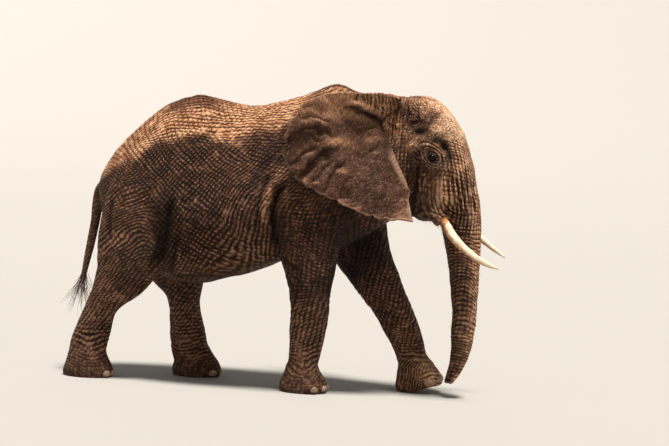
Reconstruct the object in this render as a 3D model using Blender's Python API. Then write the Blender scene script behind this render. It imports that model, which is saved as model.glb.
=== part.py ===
"""African elephant bull at a walk, a still life-size model.

The animal faces +X, its left side is +Y, and its soles stand on Z = 0. The
flesh is lofted in a few large forms (barrel with neck, skull, trunk, four
legs), fused into one body, and parted again by thin cuts where a person
would name the parts. Ears, eyes, tusks and tail are solids of their own.
"""
import bpy
import bmesh
import numpy as np
from mathutils import Matrix, Vector

for old in list(bpy.data.objects):
    bpy.data.objects.remove(old, do_unlink=True)

# ---- driving dimensions, in metres -----------------------------------------
SHOULDER = 3.05        # floor to the top of the withers
GAP = 0.0006           # width of a parting cut between two parts of the body
CLEAR = 0.0010         # space left round a piece that is set into the body
SINK = 0.02            # the feet are lofted this far below the floor, then cut flat
VOXEL = 0.028          # grid on which the lofted forms are fused
FLESH_TRIANGLES = 4000

# Barrel and neck: upright sections from the tail root to the skull.
# x, top, widest height, bottom, half width, roundness of the upper half
BARREL = [
    (-1.925, 1.925, 1.87, 1.81, 0.05, 2.0),
    (-1.885, 2.06, 1.88, 1.66, 0.16, 1.9),
    (-1.8, 2.22, 1.87, 1.48, 0.28, 1.8),
    (-1.64, 2.43, 1.86, 1.31, 0.39, 1.7),
    (-1.42, 2.63, 1.85, 1.14, 0.49, 1.75),
    (-1.16, 2.79, 1.82, 1.01, 0.57, 1.78),
    (-0.92, 2.86, 1.78, 1.00, 0.63, 1.68),
    (-0.42, 2.78, 1.76, 1.08, 0.68, 1.8),
    (-0.02, 2.86, 1.84, 1.25, 0.655, 1.75),
    (0.28, 2.975, 1.94, 1.34, 0.59, 1.65),
    (0.46, SHOULDER, 2.02, 1.38, 0.535, 1.6),
    (0.66, 2.97, 2.08, 1.47, 0.47, 1.7),
    (0.91, 2.90, 2.18, 1.62, 0.395, 1.85),
    (1.16, 2.86, 2.26, 1.80, 0.335, 2.0),
    (1.36, 2.74, 2.32, 1.96, 0.26, 2.0),
]

# Skull: level sections from the crown to the chin.
# z, back x, front x, half width, squareness of the brow
SKULL = [
    (2.985, 1.200, 1.390, 0.12, 2.2),
    (2.94, 1.100, 1.475, 0.215, 2.4),
    (2.82, 1.030, 1.610, 0.282, 2.6),
    (2.64, 1.010, 1.735, 0.315, 2.7),
    (2.44, 1.020, 1.810, 0.345, 2.6),
    (2.26, 1.060, 1.860, 0.365, 2.4),
    (2.06, 1.120, 1.890, 0.325, 2.3),
    (1.92, 1.190, 1.840, 0.270, 2.2),
    (1.81, 1.250, 1.660, 0.20, 2.1),
    (1.745, 1.340, 1.520, 0.10, 2.0),
]

# Trunk, from the brow down to the two fingers at its tip.
# x, z, half depth, half width
TRUNK = [
    (1.56, 2.46, 0.21, 0.24),
    (1.66, 2.16, 0.215, 0.245),
    (1.725, 1.92, 0.212, 0.225),
    (1.765, 1.70, 0.203, 0.20),
    (1.793, 1.50, 0.178, 0.175),
    (1.817, 1.25, 0.152, 0.155),
    (1.835, 1.00, 0.135, 0.137),
    (1.845, 0.75, 0.124, 0.121),
    (1.828, 0.50, 0.106, 0.106),
    (1.792, 0.32, 0.080, 0.090),
    (1.75, 0.205, 0.064, 0.080),
    (1.71, 0.135, 0.050, 0.070),
]

# Lower jaw, to the point of the lip: x, z, half depth, half width
JAW = [
    (1.22, 1.96, 0.14, 0.21),
    (1.37, 1.86, 0.10, 0.145),
    (1.48, 1.80, 0.065, 0.085),
    (1.545, 1.775, 0.03, 0.04),
]

# Rounded forms under the skin, both sides alike: middle (x, distance from
# the middle plane, z) and half sizes.
BONES = {
    "cheek": ((1.50, 0.265, 2.20), (0.19, 0.095, 0.13)),
    "brow": ((1.52, 0.245, 2.47), (0.13, 0.07, 0.055)),
}

# Girth of a leg at stations down the limb: half depth, half width,
# distance of the limb's axis from the middle plane.
FORELEG_GIRTH = [
    (0.17, 0.07, 0.32), (0.28, 0.145, 0.415), (0.35, 0.19, 0.405),
    (0.325, 0.205, 0.385), (0.268, 0.200, 0.365), (0.212, 0.186, 0.345),
    (0.192, 0.171, 0.325), (0.172, 0.157, 0.305), (0.150, 0.152, 0.290),
]
HINDLEG_GIRTH = [
    (0.20, 0.08, 0.23), (0.32, 0.165, 0.320), (0.385, 0.215, 0.330),
    (0.375, 0.225, 0.345), (0.30, 0.212, 0.338), (0.205, 0.190, 0.325),
    (0.162, 0.167, 0.310), (0.176, 0.163, 0.296), (0.186, 0.171, 0.287),
]
# Height over the sole, half depth and half width of a foot.
FOREFOOT = [(0.145, 0.215, 0.195), (0.055, 0.253, 0.230), (-SINK, 0.236, 0.215)]
HINDFOOT = [(0.135, 0.235, 0.185), (0.055, 0.264, 0.205), (-SINK, 0.247, 0.192)]

# The walk: x and z of the limb's axis at each girth station, then the foot's
# x, sole height and toe lift in degrees.
STRIDE = {
    "foreleg_right": ([(0.3, 2.52), (0.28, 2.20), (0.285, 1.85), (0.305, 1.52), (0.322, 1.25),
                       (0.333, 1.00), (0.336, 0.76), (0.322, 0.50), (0.294, 0.28)], (0.312, 0.0, 0)),
    "foreleg_left": ([(0.46, 2.52), (0.5, 2.20), (0.58, 1.85), (0.68, 1.52), (0.815, 1.24),
                      (0.995, 0.97), (1.125, 0.765), (1.245, 0.53), (1.322, 0.33)], (1.412, 0.048, 13)),
    "hindleg_right": ([(-1.3, 2.34), (-1.36, 2.00), (-1.415, 1.65), (-1.475, 1.31), (-1.56, 1.06),
                       (-1.675, 0.87), (-1.775, 0.70), (-1.845, 0.50), (-1.897, 0.29)], (-1.885, 0.0, 0)),
    "hindleg_left": ([(-1.28, 2.34), (-1.31, 2.00), (-1.31, 1.65), (-1.23, 1.31), (-1.14, 1.06),
                      (-1.078, 0.87), (-1.058, 0.70), (-1.02, 0.48), (-0.978, 0.28)], (-0.888, 0.0, 0)),
}

# Tusks, from inside the sheath to the point: x, distance from the middle, z,
# radius. The left one is straighter and sits higher.
TUSKS = {
    "right": [(1.56, 0.240, 1.83, 0.048), (1.615, 0.268, 1.750, 0.050), (1.695, 0.300, 1.640, 0.047),
              (1.805, 0.320, 1.530, 0.042), (1.935, 0.326, 1.440, 0.035), (2.06, 0.316, 1.375, 0.025),
              (2.172, 0.300, 1.335, 0.009)],
    "left": [(1.56, 0.240, 1.845, 0.048), (1.62, 0.272, 1.797, 0.050), (1.70, 0.306, 1.745, 0.047),
             (1.82, 0.328, 1.665, 0.042), (1.95, 0.332, 1.577, 0.035), (2.08, 0.320, 1.485, 0.025),
             (2.197, 0.300, 1.405, 0.009)],
}
SHEATH = [(1.42, 0.165, 2.08, 0.125), (1.5, 0.205, 1.90, 0.108), (1.56, 0.238, 1.79, 0.088),
          (1.595, 0.256, 1.735, 0.066)]

EYE = Vector((1.465, 0.327, 2.385))
EYE_RADIUS = 0.041

# Tail: x, z, half depth, half width; then its brush of coarse hair.
TAIL = [
    (-1.84, 1.93, 0.075, 0.075), (-1.925, 1.80, 0.065, 0.062), (-1.955, 1.55, 0.046, 0.044),
    (-1.998, 1.28, 0.042, 0.038), (-2.038, 1.06, 0.031, 0.030), (-2.062, 0.93, 0.023, 0.026),
]
BRUSH = [(-2.058, 0.98, 0.028, 0.034), (-2.07, 0.88, 0.050, 0.042), (-2.09, 0.78, 0.072, 0.046),
         (-2.13, 0.67, 0.066, 0.038), (-2.165, 0.58, 0.036, 0.024), (-2.18, 0.53, 0.012, 0.012)]

# Ear: the root line on the side of the head and the free edge, both read
# from the top of the root to the hanging tip: x, distance from the middle, z.
EAR_ROOT = [(1.14, 0.30, 2.90), (1.05, 0.355, 2.72), (1.1, 0.365, 2.50), (1.18, 0.365, 2.25),
            (1.26, 0.36, 1.99)]
EAR_EDGE = [(1.12, 0.335, 2.955), (0.9, 0.45, 2.975), (0.58, 0.60, 2.97), (0.28, 0.695, 2.89),
            (0.11, 0.745, 2.65), (0.04, 0.755, 2.40), (0.14, 0.725, 2.18), (0.31, 0.69, 2.04),
            (0.58, 0.63, 1.915), (0.86, 0.555, 1.80), (1.09, 0.48, 1.752), (1.325, 0.405, 1.755)]
EAR_THICK_ROOT = 0.050
EAR_THICK_RIM = 0.014

# ---- materials --------------------------------------------------------------


def finish(name, colour, roughness):
    """A Principled material of one colour."""
    material = bpy.data.materials.new(name)
    material.use_nodes = True
    shader = material.node_tree.nodes["Principled BSDF"]
    shader.inputs["Base Color"].default_value = (*colour, 1.0)
    shader.inputs["Roughness"].default_value = roughness
    shader.inputs["Metallic"].default_value = 0.0
    return material


HIDE = finish("hide", (0.115, 0.062, 0.040), 0.72)
IVORY = finish("ivory", (0.72, 0.60, 0.43), 0.38)
EYEBALL = finish("eyeball", (0.030, 0.016, 0.010), 0.08)
HAIR = finish("hair", (0.020, 0.013, 0.010), 0.60)

# ---- shape tools -------------------------------------------------------------


def smooth_rows(rows, steps):
    """Read a table as a smooth curve: a Catmull-Rom curve through its rows,
    with `steps` stretches between each two rows."""
    rows = np.array(rows, dtype=float)
    ends = np.vstack([2 * rows[0] - rows[1], rows, 2 * rows[-1] - rows[-2]])
    out = []
    for i in range(1, len(ends) - 2):
        a, b, c, d = ends[i - 1:i + 3]
        for u in np.arange(steps) / steps:
            out.append(0.5 * (2 * b + (c - a) * u + (2 * a - 5 * b + 4 * c - d) * u ** 2
                              + (3 * b - a - 3 * c + d) * u ** 3))
    out.append(rows[-1])
    return np.array(out)


def oval(count, up, down, side, power_up=2.0, power_down=2.0):
    """A closed section as (out, across) pairs, starting at its top: a
    superellipse that reaches `up` above and `down` below its widest line."""
    turn = 2 * np.pi * np.arange(count) / count
    c, s = np.cos(turn), np.sin(turn)
    power = np.where(c > 0, power_up, power_down)
    out = np.where(c > 0, up, down) * np.sign(c) * np.abs(c) ** (2 / power)
    return np.column_stack([out, side * np.sign(s) * np.abs(s) ** (2 / power)])


def loft(rings):
    """Skin a row of closed rings with quads and close both ends with a fan."""
    bm = bmesh.new()
    loops = [[bm.verts.new(point) for point in ring] for ring in rings]
    count = len(loops[0])
    for first, second in zip(loops, loops[1:]):
        for i in range(count):
            j = (i + 1) % count
            bm.faces.new((first[i], first[j], second[j], second[i]))
    for loop in (loops[0], loops[-1]):
        middle = bm.verts.new(sum((v.co for v in loop), Vector()) / count)
        for i in range(count):
            bm.faces.new((loop[i], loop[(i + 1) % count], middle))
    bmesh.ops.recalc_face_normals(bm, faces=bm.faces)
    return bm


def tube(stations, count=20, power=2.15):
    """Loft square to its path. A station is x, y, z, half depth, half width;
    the path may bend in the upright plane, and its width stays level."""
    stations = np.array(stations)
    path = stations[:, [0, 2]]
    along = np.gradient(path, axis=0)
    along /= np.linalg.norm(along, axis=1)[:, None]
    fore = np.column_stack([-along[:, 1], along[:, 0]])
    rings = []
    for (x, y, z, deep, wide), (fx, fz) in zip(stations, fore):
        out, across = oval(count, deep, deep, wide, power, power).T
        rings.append(np.column_stack([x + out * fx, y + across, z + out * fz]))
    return rings


def barrel_rings():
    """Upright sections of the trunk of the body and the neck."""
    rings = []
    for x, top, wide, bottom, half, power in smooth_rows(BARREL, 3):
        out, across = oval(32, top - wide, wide - bottom, half, power, 2.15).T
        rings.append(np.column_stack([np.full(32, x), across, wide + out]))
    return rings


def skull_rings():
    """Level sections of the head."""
    rings = []
    for z, back, front, half, power in smooth_rows(SKULL, 3):
        middle = back + 0.52 * (front - back)
        out, across = oval(28, front - middle, middle - back, half, power, 2.0).T
        rings.append(np.column_stack([middle + out, across, np.full(28, z)]))
    return rings


def leg_rings(name):
    """A limb along its stride, then its foot about the foot's own tilt."""
    girths, foot = (FORELEG_GIRTH, FOREFOOT) if "fore" in name else (HINDLEG_GIRTH, HINDFOOT)
    side = -1 if name.endswith("right") else 1
    axis, (foot_x, foot_z, lift) = STRIDE[name]
    rows = smooth_rows([(x, side * y, z, deep, wide)
                        for (x, z), (deep, wide, y) in zip(axis, girths)], 3)
    rings = tube(rows)
    lean = Matrix.Rotation(-np.radians(lift), 3, "Y")
    foot_y = side * (girths[-1][2] - 0.005)
    profile = smooth_rows(foot, 3)
    for height, deep, wide in profile:
        out, across = oval(20, deep, deep, wide, 2.2, 2.2).T
        flat = np.column_stack([out, across, np.full(20, height)])
        rings.append(flat @ np.array(lean).T + (foot_x, foot_y, foot_z))
    return rings


def side_tube(rows, side):
    """Round tube beside the middle plane, in the right or the left half."""
    return tube([(x, side * y, z, radius, radius)
                 for x, y, z, radius in smooth_rows(rows, 2)], 10, 2.0)


def egg_rings(middle, half_sizes, side):
    """An ellipsoid as rings from pole to pole."""
    fall = np.linspace(0.04, np.pi - 0.04, 10)[:, None]
    turn = 2 * np.pi * np.arange(14) / 14
    ball = np.stack([np.sin(fall) * np.cos(turn), np.sin(fall) * np.sin(turn),
                     np.cos(fall) + 0 * turn], axis=-1)
    return ball * half_sizes + np.array(middle) * (1, side, 1)


def middle_tube(rows, count=18):
    """Tube in the middle plane of the body."""
    return tube([(x, 0.0, z, deep, wide) for x, z, deep, wide in smooth_rows(rows, 3)], count)


def ear_mesh(side, steps=9, rows=22):
    """A sheet ruled from the root line to the free edge, thinning to a rim.
    It bellies out from the neck between the two."""
    def resample(table):
        dense = smooth_rows(table, 12)
        run = np.append(0, np.cumsum(np.linalg.norm(np.diff(dense, axis=0), axis=1)))
        at = np.linspace(0, run[-1], rows)
        return np.column_stack([np.interp(at, run, dense[:, k]) for k in range(3)])

    root, edge = resample(EAR_ROOT), resample(EAR_EDGE)
    reach = np.linspace(0, 1, steps)[:, None, None]
    sheet = root + (edge - root) * reach
    belly = np.sin(np.pi * reach[..., 0]) * np.sin(np.pi * np.linspace(0, 1, rows)) * 0.045
    sheet[..., 1] += belly
    across = np.gradient(sheet, axis=0)
    down = np.gradient(sheet, axis=1)
    normal = np.cross(across, down)
    normal /= np.linalg.norm(normal, axis=2)[..., None]
    normal *= np.sign(normal[..., 1:2])
    thick = EAR_THICK_RIM + (EAR_THICK_ROOT - EAR_THICK_RIM) * (1 - reach) ** 1.6
    outer, inner = sheet + normal * thick / 2, sheet - normal * thick / 2
    bm = bmesh.new()
    grids = []
    for grid in (outer, inner):
        grid = grid * (1, side, 1)
        grids.append([[bm.verts.new(p) for p in line] for line in grid])
    for grid in grids:
        for a, b in zip(grid, grid[1:]):
            for i in range(rows - 1):
                bm.faces.new((a[i], a[i + 1], b[i + 1], b[i]))
    front, back = grids
    rim = ([(front[0][i], back[0][i]) for i in range(rows)]
           + [(front[j][-1], back[j][-1]) for j in range(1, steps)]
           + [(front[-1][i], back[-1][i]) for i in range(rows - 2, -1, -1)]
           + [(front[j][0], back[j][0]) for j in range(steps - 2, 0, -1)])
    for (a, b), (c, d) in zip(rim, rim[1:] + rim[:1]):
        bm.faces.new((a, b, d, c))
    bmesh.ops.recalc_face_normals(bm, faces=bm.faces)
    return bm


def add(name, bm, material):
    """Turn a bmesh into a named, smooth-shaded object."""
    mesh = bpy.data.meshes.new(name)
    bm.to_mesh(mesh)
    bm.free()
    mesh.shade_smooth()
    mesh.materials.append(material)
    piece = bpy.data.objects.new(name, mesh)
    bpy.context.scene.collection.objects.link(piece)
    return piece


def settled(piece):
    """Put a piece's modifiers into its mesh."""
    graph = bpy.context.evaluated_depsgraph_get()
    mesh = bpy.data.meshes.new_from_object(piece.evaluated_get(graph))
    piece.modifiers.clear()
    piece.data = mesh
    return piece


def combine(piece, other, operation):
    """Apply a Boolean of two closed solids to the first."""
    modifier = piece.modifiers.new(operation.lower(), "BOOLEAN")
    modifier.operation = operation
    modifier.solver = "EXACT"
    modifier.object = other
    return settled(piece)


def cut(piece, cutter):
    """Take a cutter away from a piece."""
    return combine(piece, cutter, "DIFFERENCE")


def guide(piece):
    """Mark an object that only shapes others."""
    piece.hide_render = True
    piece.display_type = "WIRE"
    return piece


def carve(piece, cutter):
    """Take a guide away from a piece, and leave only triangles behind."""
    cut(piece, guide(cutter))
    bm = bmesh.new()
    bm.from_mesh(piece.data)
    bmesh.ops.triangulate(bm, faces=bm.faces, ngon_method="EAR_CLIP")
    bm.to_mesh(piece.data)
    bm.free()


# ---- one body of flesh ----------------------------------------------------------
forms = [barrel_rings(), skull_rings(), middle_tube(TRUNK, 22), middle_tube(JAW)]
forms += [leg_rings(name) for name in STRIDE]
forms += [side_tube(SHEATH, side) for side in (-1, 1)]
forms += [egg_rings(*bone, side) for bone in BONES.values() for side in (-1, 1)]
flesh = add("flesh", loft(forms[0]), HIDE)
for form in forms[1:]:
    lump = add("lump", loft(form), HIDE)
    combine(flesh, lump, "UNION")
    bpy.data.objects.remove(lump)

remesh = flesh.modifiers.new("fuse", "REMESH")
remesh.mode = "VOXEL"
remesh.voxel_size = VOXEL
soften = flesh.modifiers.new("soften", "SMOOTH")
soften.factor = 0.5
soften.iterations = 8
settled(flesh)
thin = flesh.modifiers.new("thin", "DECIMATE")
flesh.data.calc_loop_triangles()
thin.ratio = FLESH_TRIANGLES / len(flesh.data.loop_triangles)
settled(flesh)

# Soles: the floor is cut flat across all four feet.
bm = bmesh.new()
bm.from_mesh(flesh.data)
whole = bm.verts[:] + bm.edges[:] + bm.faces[:]
sole = bmesh.ops.bisect_plane(bm, geom=whole, plane_co=(0, 0, 0), plane_no=(0, 0, 1),
                              clear_inner=True)
rim_edges = [e for e in sole["geom_cut"] if isinstance(e, bmesh.types.BMEdge)]
bmesh.ops.holes_fill(bm, edges=rim_edges)
bmesh.ops.triangulate(bm, faces=bm.faces)
bm.to_mesh(flesh.data)
bm.free()

# A copy a hair larger, which trims what grows out of the flesh.
shell = guide(bpy.data.objects.new("flesh_clearance", flesh.data.copy()))
bpy.context.scene.collection.objects.link(shell)
swell = shell.modifiers.new("swell", "DISPLACE")
swell.mid_level = 0.0
swell.strength = CLEAR
settled(shell)

# ---- ears, tusks, tail, eyes ------------------------------------------------------
for word, side in (("right", -1), ("left", 1)):
    cut(add("ear_" + word, ear_mesh(side), HIDE), shell)
    add("tusk_" + word, loft(side_tube(TUSKS[word], side)), IVORY)
    wider = [(x, y, z, radius + CLEAR) for x, y, z, radius in TUSKS[word]]
    start, following = np.array(wider[0]), np.array(wider[1])
    back = (start - following)[:3] / np.linalg.norm((start - following)[:3])
    wider[0] = (*(start[:3] + back * CLEAR), start[3])
    carve(flesh, add("tusk_socket_" + word, loft(side_tube(wider, side)), IVORY))
    seat = EYE * 1.0
    seat.y *= side
    eye = bmesh.new()
    bmesh.ops.create_icosphere(eye, subdivisions=2, radius=EYE_RADIUS,
                               matrix=Matrix.Translation(seat))
    add("eye_" + word, eye, EYEBALL)
    socket = bmesh.new()
    bmesh.ops.create_icosphere(socket, subdivisions=2, radius=EYE_RADIUS + CLEAR,
                               matrix=Matrix.Translation(seat))
    carve(flesh, add("socket_" + word, socket, HIDE))

tail = cut(add("tail", loft(middle_tube(TAIL, 10)), HIDE), shell)
tail_shell = guide(add("tail_clearance", loft(middle_tube(TAIL, 10)), HIDE))
swell = tail_shell.modifiers.new("swell", "DISPLACE")
swell.mid_level = 0.0
swell.strength = CLEAR
settled(tail_shell)
cut(add("tail_brush", loft(middle_tube(BRUSH, 10)), HAIR), tail_shell)

# ---- parting cuts ---------------------------------------------------------------------
# A cut is a thin slab: middle, direction across the slab, size along the slab
# fore and aft, size from side to side.
CUTS = [
    ((0.86, 0.0, 2.33), (1.0, 0.0, 0.27), 2.2, 2.2),        # neck from body
    ((1.145, 0.0, 2.36), (1.0, 0.0, 0.22), 1.7, 1.6),       # head from neck
    ((1.76, 0.0, 1.665), (0.12, 0.0, 1.0), 0.60, 0.60),     # trunk from head
    ((1.827, 0.0, 1.16), (0.06, 0.0, 1.0), 0.60, 0.70),     # trunk, upper from middle
    ((1.845, 0.0, 0.66), (-0.04, 0.0, 1.0), 0.60, 0.70),    # trunk, middle from tip
    ((0.32, -0.42, 1.245), (0.0, 0.0, 1.0), 0.80, 0.78),    # right foreleg
    ((0.84, 0.42, 1.26), (-0.16, 0.0, 1.0), 1.00, 0.78),    # left foreleg
    ((-1.60, -0.42, 1.12), (0.55, 0.0, 1.0), 1.06, 0.78),   # right hind leg
    ((-1.11, 0.42, 0.945), (0.05, 0.0, 1.0), 0.96, 0.78),   # left hind leg
    ((0.31, -0.30, 0.215), (0.0, 0.0, 1.0), 0.80, 0.55),    # right forefoot
    ((1.37, 0.30, 0.245), (-0.23, 0.0, 1.0), 0.70, 0.55),   # left forefoot
    ((-1.90, -0.30, 0.205), (0.0, 0.0, 1.0), 0.80, 0.55),   # right hind foot
    ((-0.94, 0.30, 0.205), (0.0, 0.0, 1.0), 0.80, 0.55),    # left hind foot
]
slabs = bmesh.new()
for middle, across, length, width in CUTS:
    turn = Vector(across).to_track_quat("Z", "Y").to_matrix().to_4x4()
    size = Matrix.Diagonal((width, length, GAP, 1.0))
    bmesh.ops.create_cube(slabs, size=1.0, matrix=Matrix.Translation(middle) @ turn @ size)
cut(flesh, guide(add("parting", slabs, HIDE)))

# Each island left by the cuts takes the name of the place nearest its middle.
NAMES = {
    "torso": (-0.54, 0, 1.95), "neck": (1.01, 0, 2.3), "head": (1.51, 0, 2.3),
    "trunk_upper": (1.81, 0, 1.4), "trunk_middle": (1.84, 0, 0.9), "trunk_tip": (1.81, 0, 0.4),
    "foreleg_right": (0.32, -0.35, 0.75), "forefoot_right": (0.31, -0.29, 0.1),
    "foreleg_left": (1.06, 0.35, 0.85), "forefoot_left": (1.40, 0.29, 0.12),
    "hindleg_right": (-1.69, -0.34, 0.75), "hindfoot_right": (-1.88, -0.29, 0.1),
    "hindleg_left": (-1.06, 0.34, 0.6), "hindfoot_left": (-0.90, 0.29, 0.1),
}


def islands(bm):
    """Group the faces that hang together."""
    left, groups = set(bm.faces), []
    while left:
        queue, group = [left.pop()], []
        while queue:
            face = queue.pop()
            group.append(face)
            for edge in face.edges:
                for other in edge.link_faces:
                    if other in left:
                        left.remove(other)
                        queue.append(other)
        groups.append(group)
    return groups


bm = bmesh.new()
bm.from_mesh(flesh.data)
for group in islands(bm):
    piece = bmesh.new()
    copies = {}
    for face in group:
        for v in face.verts:
            if v not in copies:
                copies[v] = piece.verts.new(v.co)
        piece.faces.new([copies[v] for v in face.verts])
    middle = sum((v.co for v in piece.verts), Vector()) / len(piece.verts)
    name = min(NAMES, key=lambda word: (Vector(NAMES[word]) - middle).length)
    bmesh.ops.triangulate(piece, faces=piece.faces)
    add(name, piece, HIDE)
bm.free()
guide(flesh)
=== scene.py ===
# %% [markdown]
# # A walking elephant, life size
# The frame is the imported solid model: every named part of the animal as a
# plain closed body. This script gives it its looks. It fuses the flesh into
# one skin, sculpts folds, lids and wrinkles into it, and adds ears, eyes,
# tusks, nails and hair. All places are worked out from the frame's parts, so
# the looks always fit the solids.

# %% Load the frame
import math

import bmesh
import bpy
import numpy as np
from mathutils import Matrix, Vector


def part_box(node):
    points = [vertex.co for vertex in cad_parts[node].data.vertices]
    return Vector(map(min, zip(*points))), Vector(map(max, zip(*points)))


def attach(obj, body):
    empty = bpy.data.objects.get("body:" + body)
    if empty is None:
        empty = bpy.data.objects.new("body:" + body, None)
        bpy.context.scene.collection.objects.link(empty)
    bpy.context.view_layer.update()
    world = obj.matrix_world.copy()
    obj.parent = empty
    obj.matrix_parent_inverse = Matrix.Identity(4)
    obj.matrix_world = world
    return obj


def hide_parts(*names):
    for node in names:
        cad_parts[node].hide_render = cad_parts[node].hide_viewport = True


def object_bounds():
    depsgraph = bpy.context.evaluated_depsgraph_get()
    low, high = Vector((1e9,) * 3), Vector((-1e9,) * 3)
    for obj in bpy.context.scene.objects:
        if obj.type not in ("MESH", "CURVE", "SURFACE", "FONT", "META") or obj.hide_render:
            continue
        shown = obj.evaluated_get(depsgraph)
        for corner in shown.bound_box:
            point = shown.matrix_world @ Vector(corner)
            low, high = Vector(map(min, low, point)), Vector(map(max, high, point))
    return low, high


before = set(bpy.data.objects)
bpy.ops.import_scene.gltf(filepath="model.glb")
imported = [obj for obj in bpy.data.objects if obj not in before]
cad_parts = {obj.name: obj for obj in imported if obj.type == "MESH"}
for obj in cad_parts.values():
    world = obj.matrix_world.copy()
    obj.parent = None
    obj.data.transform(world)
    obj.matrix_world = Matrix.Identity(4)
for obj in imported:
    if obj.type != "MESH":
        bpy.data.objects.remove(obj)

CAD_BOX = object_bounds()
print("solid model from", np.round(CAD_BOX[0], 3), "to", np.round(CAD_BOX[1], 3))


# %% [markdown]
# ## Places on the animal
# A place is easiest to read as a share of a part's own box: 0 at its rear,
# right or lower side, 1 at its front, left or upper side. The helpers below
# turn such shares into metres.

# %% Places as shares of a part's box
def box_corners(node):
    """Lowest and highest corner of a part's box, as arrays."""
    low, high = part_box(node)
    return np.array(low), np.array(high)


def spot(node, along, across, up):
    """Point at these shares of a part's box: lowest corner + share * size."""
    low, high = box_corners(node)
    return low + np.array((along, across, up)) * (high - low)


def side_line(node, shares):
    """Line seen from the side: (along, up) shares of a part's box, as (x, z) in metres."""
    low, high = (corner[[0, 2]] for corner in box_corners(node))
    return low + np.array(shares, dtype=float) * (high - low)


HANDS = {"right": -1, "left": 1}      # the sign of y on each side
EYE = {side: spot("eye_" + side, 0.5, 0.5, 0.5) for side in HANDS}
EYE_SIZE = (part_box("eye_right")[1][2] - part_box("eye_right")[0][2]) / 2     # radius

# %% [markdown]
# ## Camera, floor and light
# The camera comes first, so that every later piece can be looked at. It
# stands about twenty metres away on the animal's right, a little above its
# back, with a long lens, so the legs and back keep their true proportions.
# The floor is a wide shallow bowl: its rim is so far off that no edge shows.

# %% The camera
CAMERA_PLACE = Vector((3.189, -19.754, 2.9))
CAMERA_HEADING = math.radians(7.77)    # turned from +Y towards -X
CAMERA_PITCH = math.radians(-3.535)
CAMERA_ROLL = math.radians(3.1)
CAMERA_LENS = 107.6

camera_data = bpy.data.cameras.new("camera")
camera_data.lens = CAMERA_LENS
camera_data.clip_end = 500.0
camera = bpy.data.objects.new("camera", camera_data)
bpy.context.scene.collection.objects.link(camera)
turn = Matrix.Rotation(CAMERA_HEADING, 4, "Z") @ Matrix.Rotation(math.pi / 2 + CAMERA_PITCH, 4, "X")
camera.matrix_world = Matrix.Translation(CAMERA_PLACE) @ turn @ Matrix.Rotation(CAMERA_ROLL, 4, "Z")
bpy.context.scene.camera = camera
print("camera", round((CAMERA_PLACE - Vector((0, 0, 1.5))).length, 1), "m from the animal")


# %% Meshes from arrays, and plain materials
def mesh_object(name, points, faces, material=None):
    """A smooth-shaded object from an array of points and one of faces."""
    mesh = bpy.data.meshes.new(name)
    mesh.from_pydata(np.asarray(points).tolist(), [], np.asarray(faces).tolist())
    mesh.validate()
    mesh.shade_smooth()
    if material:
        mesh.materials.append(material)
    piece = bpy.data.objects.new(name, mesh)
    bpy.context.scene.collection.objects.link(piece)
    return piece


def grid_faces(rows, columns, closed=False):
    """Quads of a grid of points stored row by row. A closed grid joins its
    last column to its first."""
    row = np.arange(rows - 1)[:, None] * columns
    column = np.arange(columns if closed else columns - 1)
    here, right = row + column, row + (column + 1) % columns
    return np.stack([here, right, right + columns, here + columns], axis=-1).reshape(-1, 4)


def halved(quads):
    """Each quad as two triangles."""
    return np.vstack([quads[:, [0, 1, 2]], quads[:, [0, 2, 3]]])


def store(mesh, layers):
    """Write named numbers into a mesh, one for each point."""
    for name, numbers in layers.items():
        layer = mesh.attributes.new(name, "FLOAT", "POINT")
        layer.data.foreach_set("value", np.asarray(numbers, dtype=np.float32))


def unit(vectors):
    """Vectors of length one."""
    return vectors / np.linalg.norm(vectors, axis=-1, keepdims=True)


def plain_material(name, colour, roughness):
    """A Principled material with one colour, returned with its shader node."""
    material = bpy.data.materials.new(name)
    material.use_nodes = True
    shader = material.node_tree.nodes["Principled BSDF"]
    shader.inputs["Base Color"].default_value = (*colour, 1.0)
    shader.inputs["Roughness"].default_value = roughness
    return material, shader


# %% The floor
FLOOR_FLAT = 45.0      # metres from the middle that stay level
FLOOR_REACH = 130.0
FLOOR_RISE = 60.0
FLOOR_SPOKES, FLOOR_RINGS = 96, 40
FLOOR_COLOUR, FLOOR_ROUGHNESS = (0.37, 0.36, 0.345), 0.9

angle = np.linspace(0, 2 * np.pi, FLOOR_SPOKES, endpoint=False)
# Radius grows evenly; height stays 0 on the flat, then rises as the square of the rest.
radius = FLOOR_REACH * np.linspace(0, 1, FLOOR_RINGS)[:, None] + 0 * angle
height = FLOOR_RISE * (np.clip(radius - FLOOR_FLAT, 0, None) / (FLOOR_REACH - FLOOR_FLAT)) ** 2
bowl = np.stack([radius * np.cos(angle), radius * np.sin(angle), height], axis=-1).reshape(-1, 3)
floor_material, _ = plain_material("pale_floor", FLOOR_COLOUR, FLOOR_ROUGHNESS)
bowl_faces = grid_faces(FLOOR_RINGS, FLOOR_SPOKES, closed=True)
floor = mesh_object("floor", bowl, bowl_faces, floor_material)
print("floor", FLOOR_REACH, "m out")

# %% Soft light
SKY_COLOUR, SKY_STRENGTH = (1.0, 0.975, 0.94, 1.0), 0.19

world = bpy.data.worlds.new("studio")
world.use_nodes = True
sky = world.node_tree.nodes["Background"].inputs
sky["Color"].default_value = SKY_COLOUR
sky["Strength"].default_value = SKY_STRENGTH
bpy.context.scene.world = world


def sun(name, strength, spread, direction, colour):
    """Parallel light from a soft disc `spread` degrees wide, shining along `direction`."""
    data = bpy.data.lights.new(name, "SUN")
    data.energy = strength
    data.angle = math.radians(spread)
    data.color = colour
    lamp = bpy.data.objects.new(name, data)
    lamp.matrix_world = Vector(direction).to_track_quat("-Z", "Y").to_matrix().to_4x4()
    bpy.context.scene.collection.objects.link(lamp)


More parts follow.
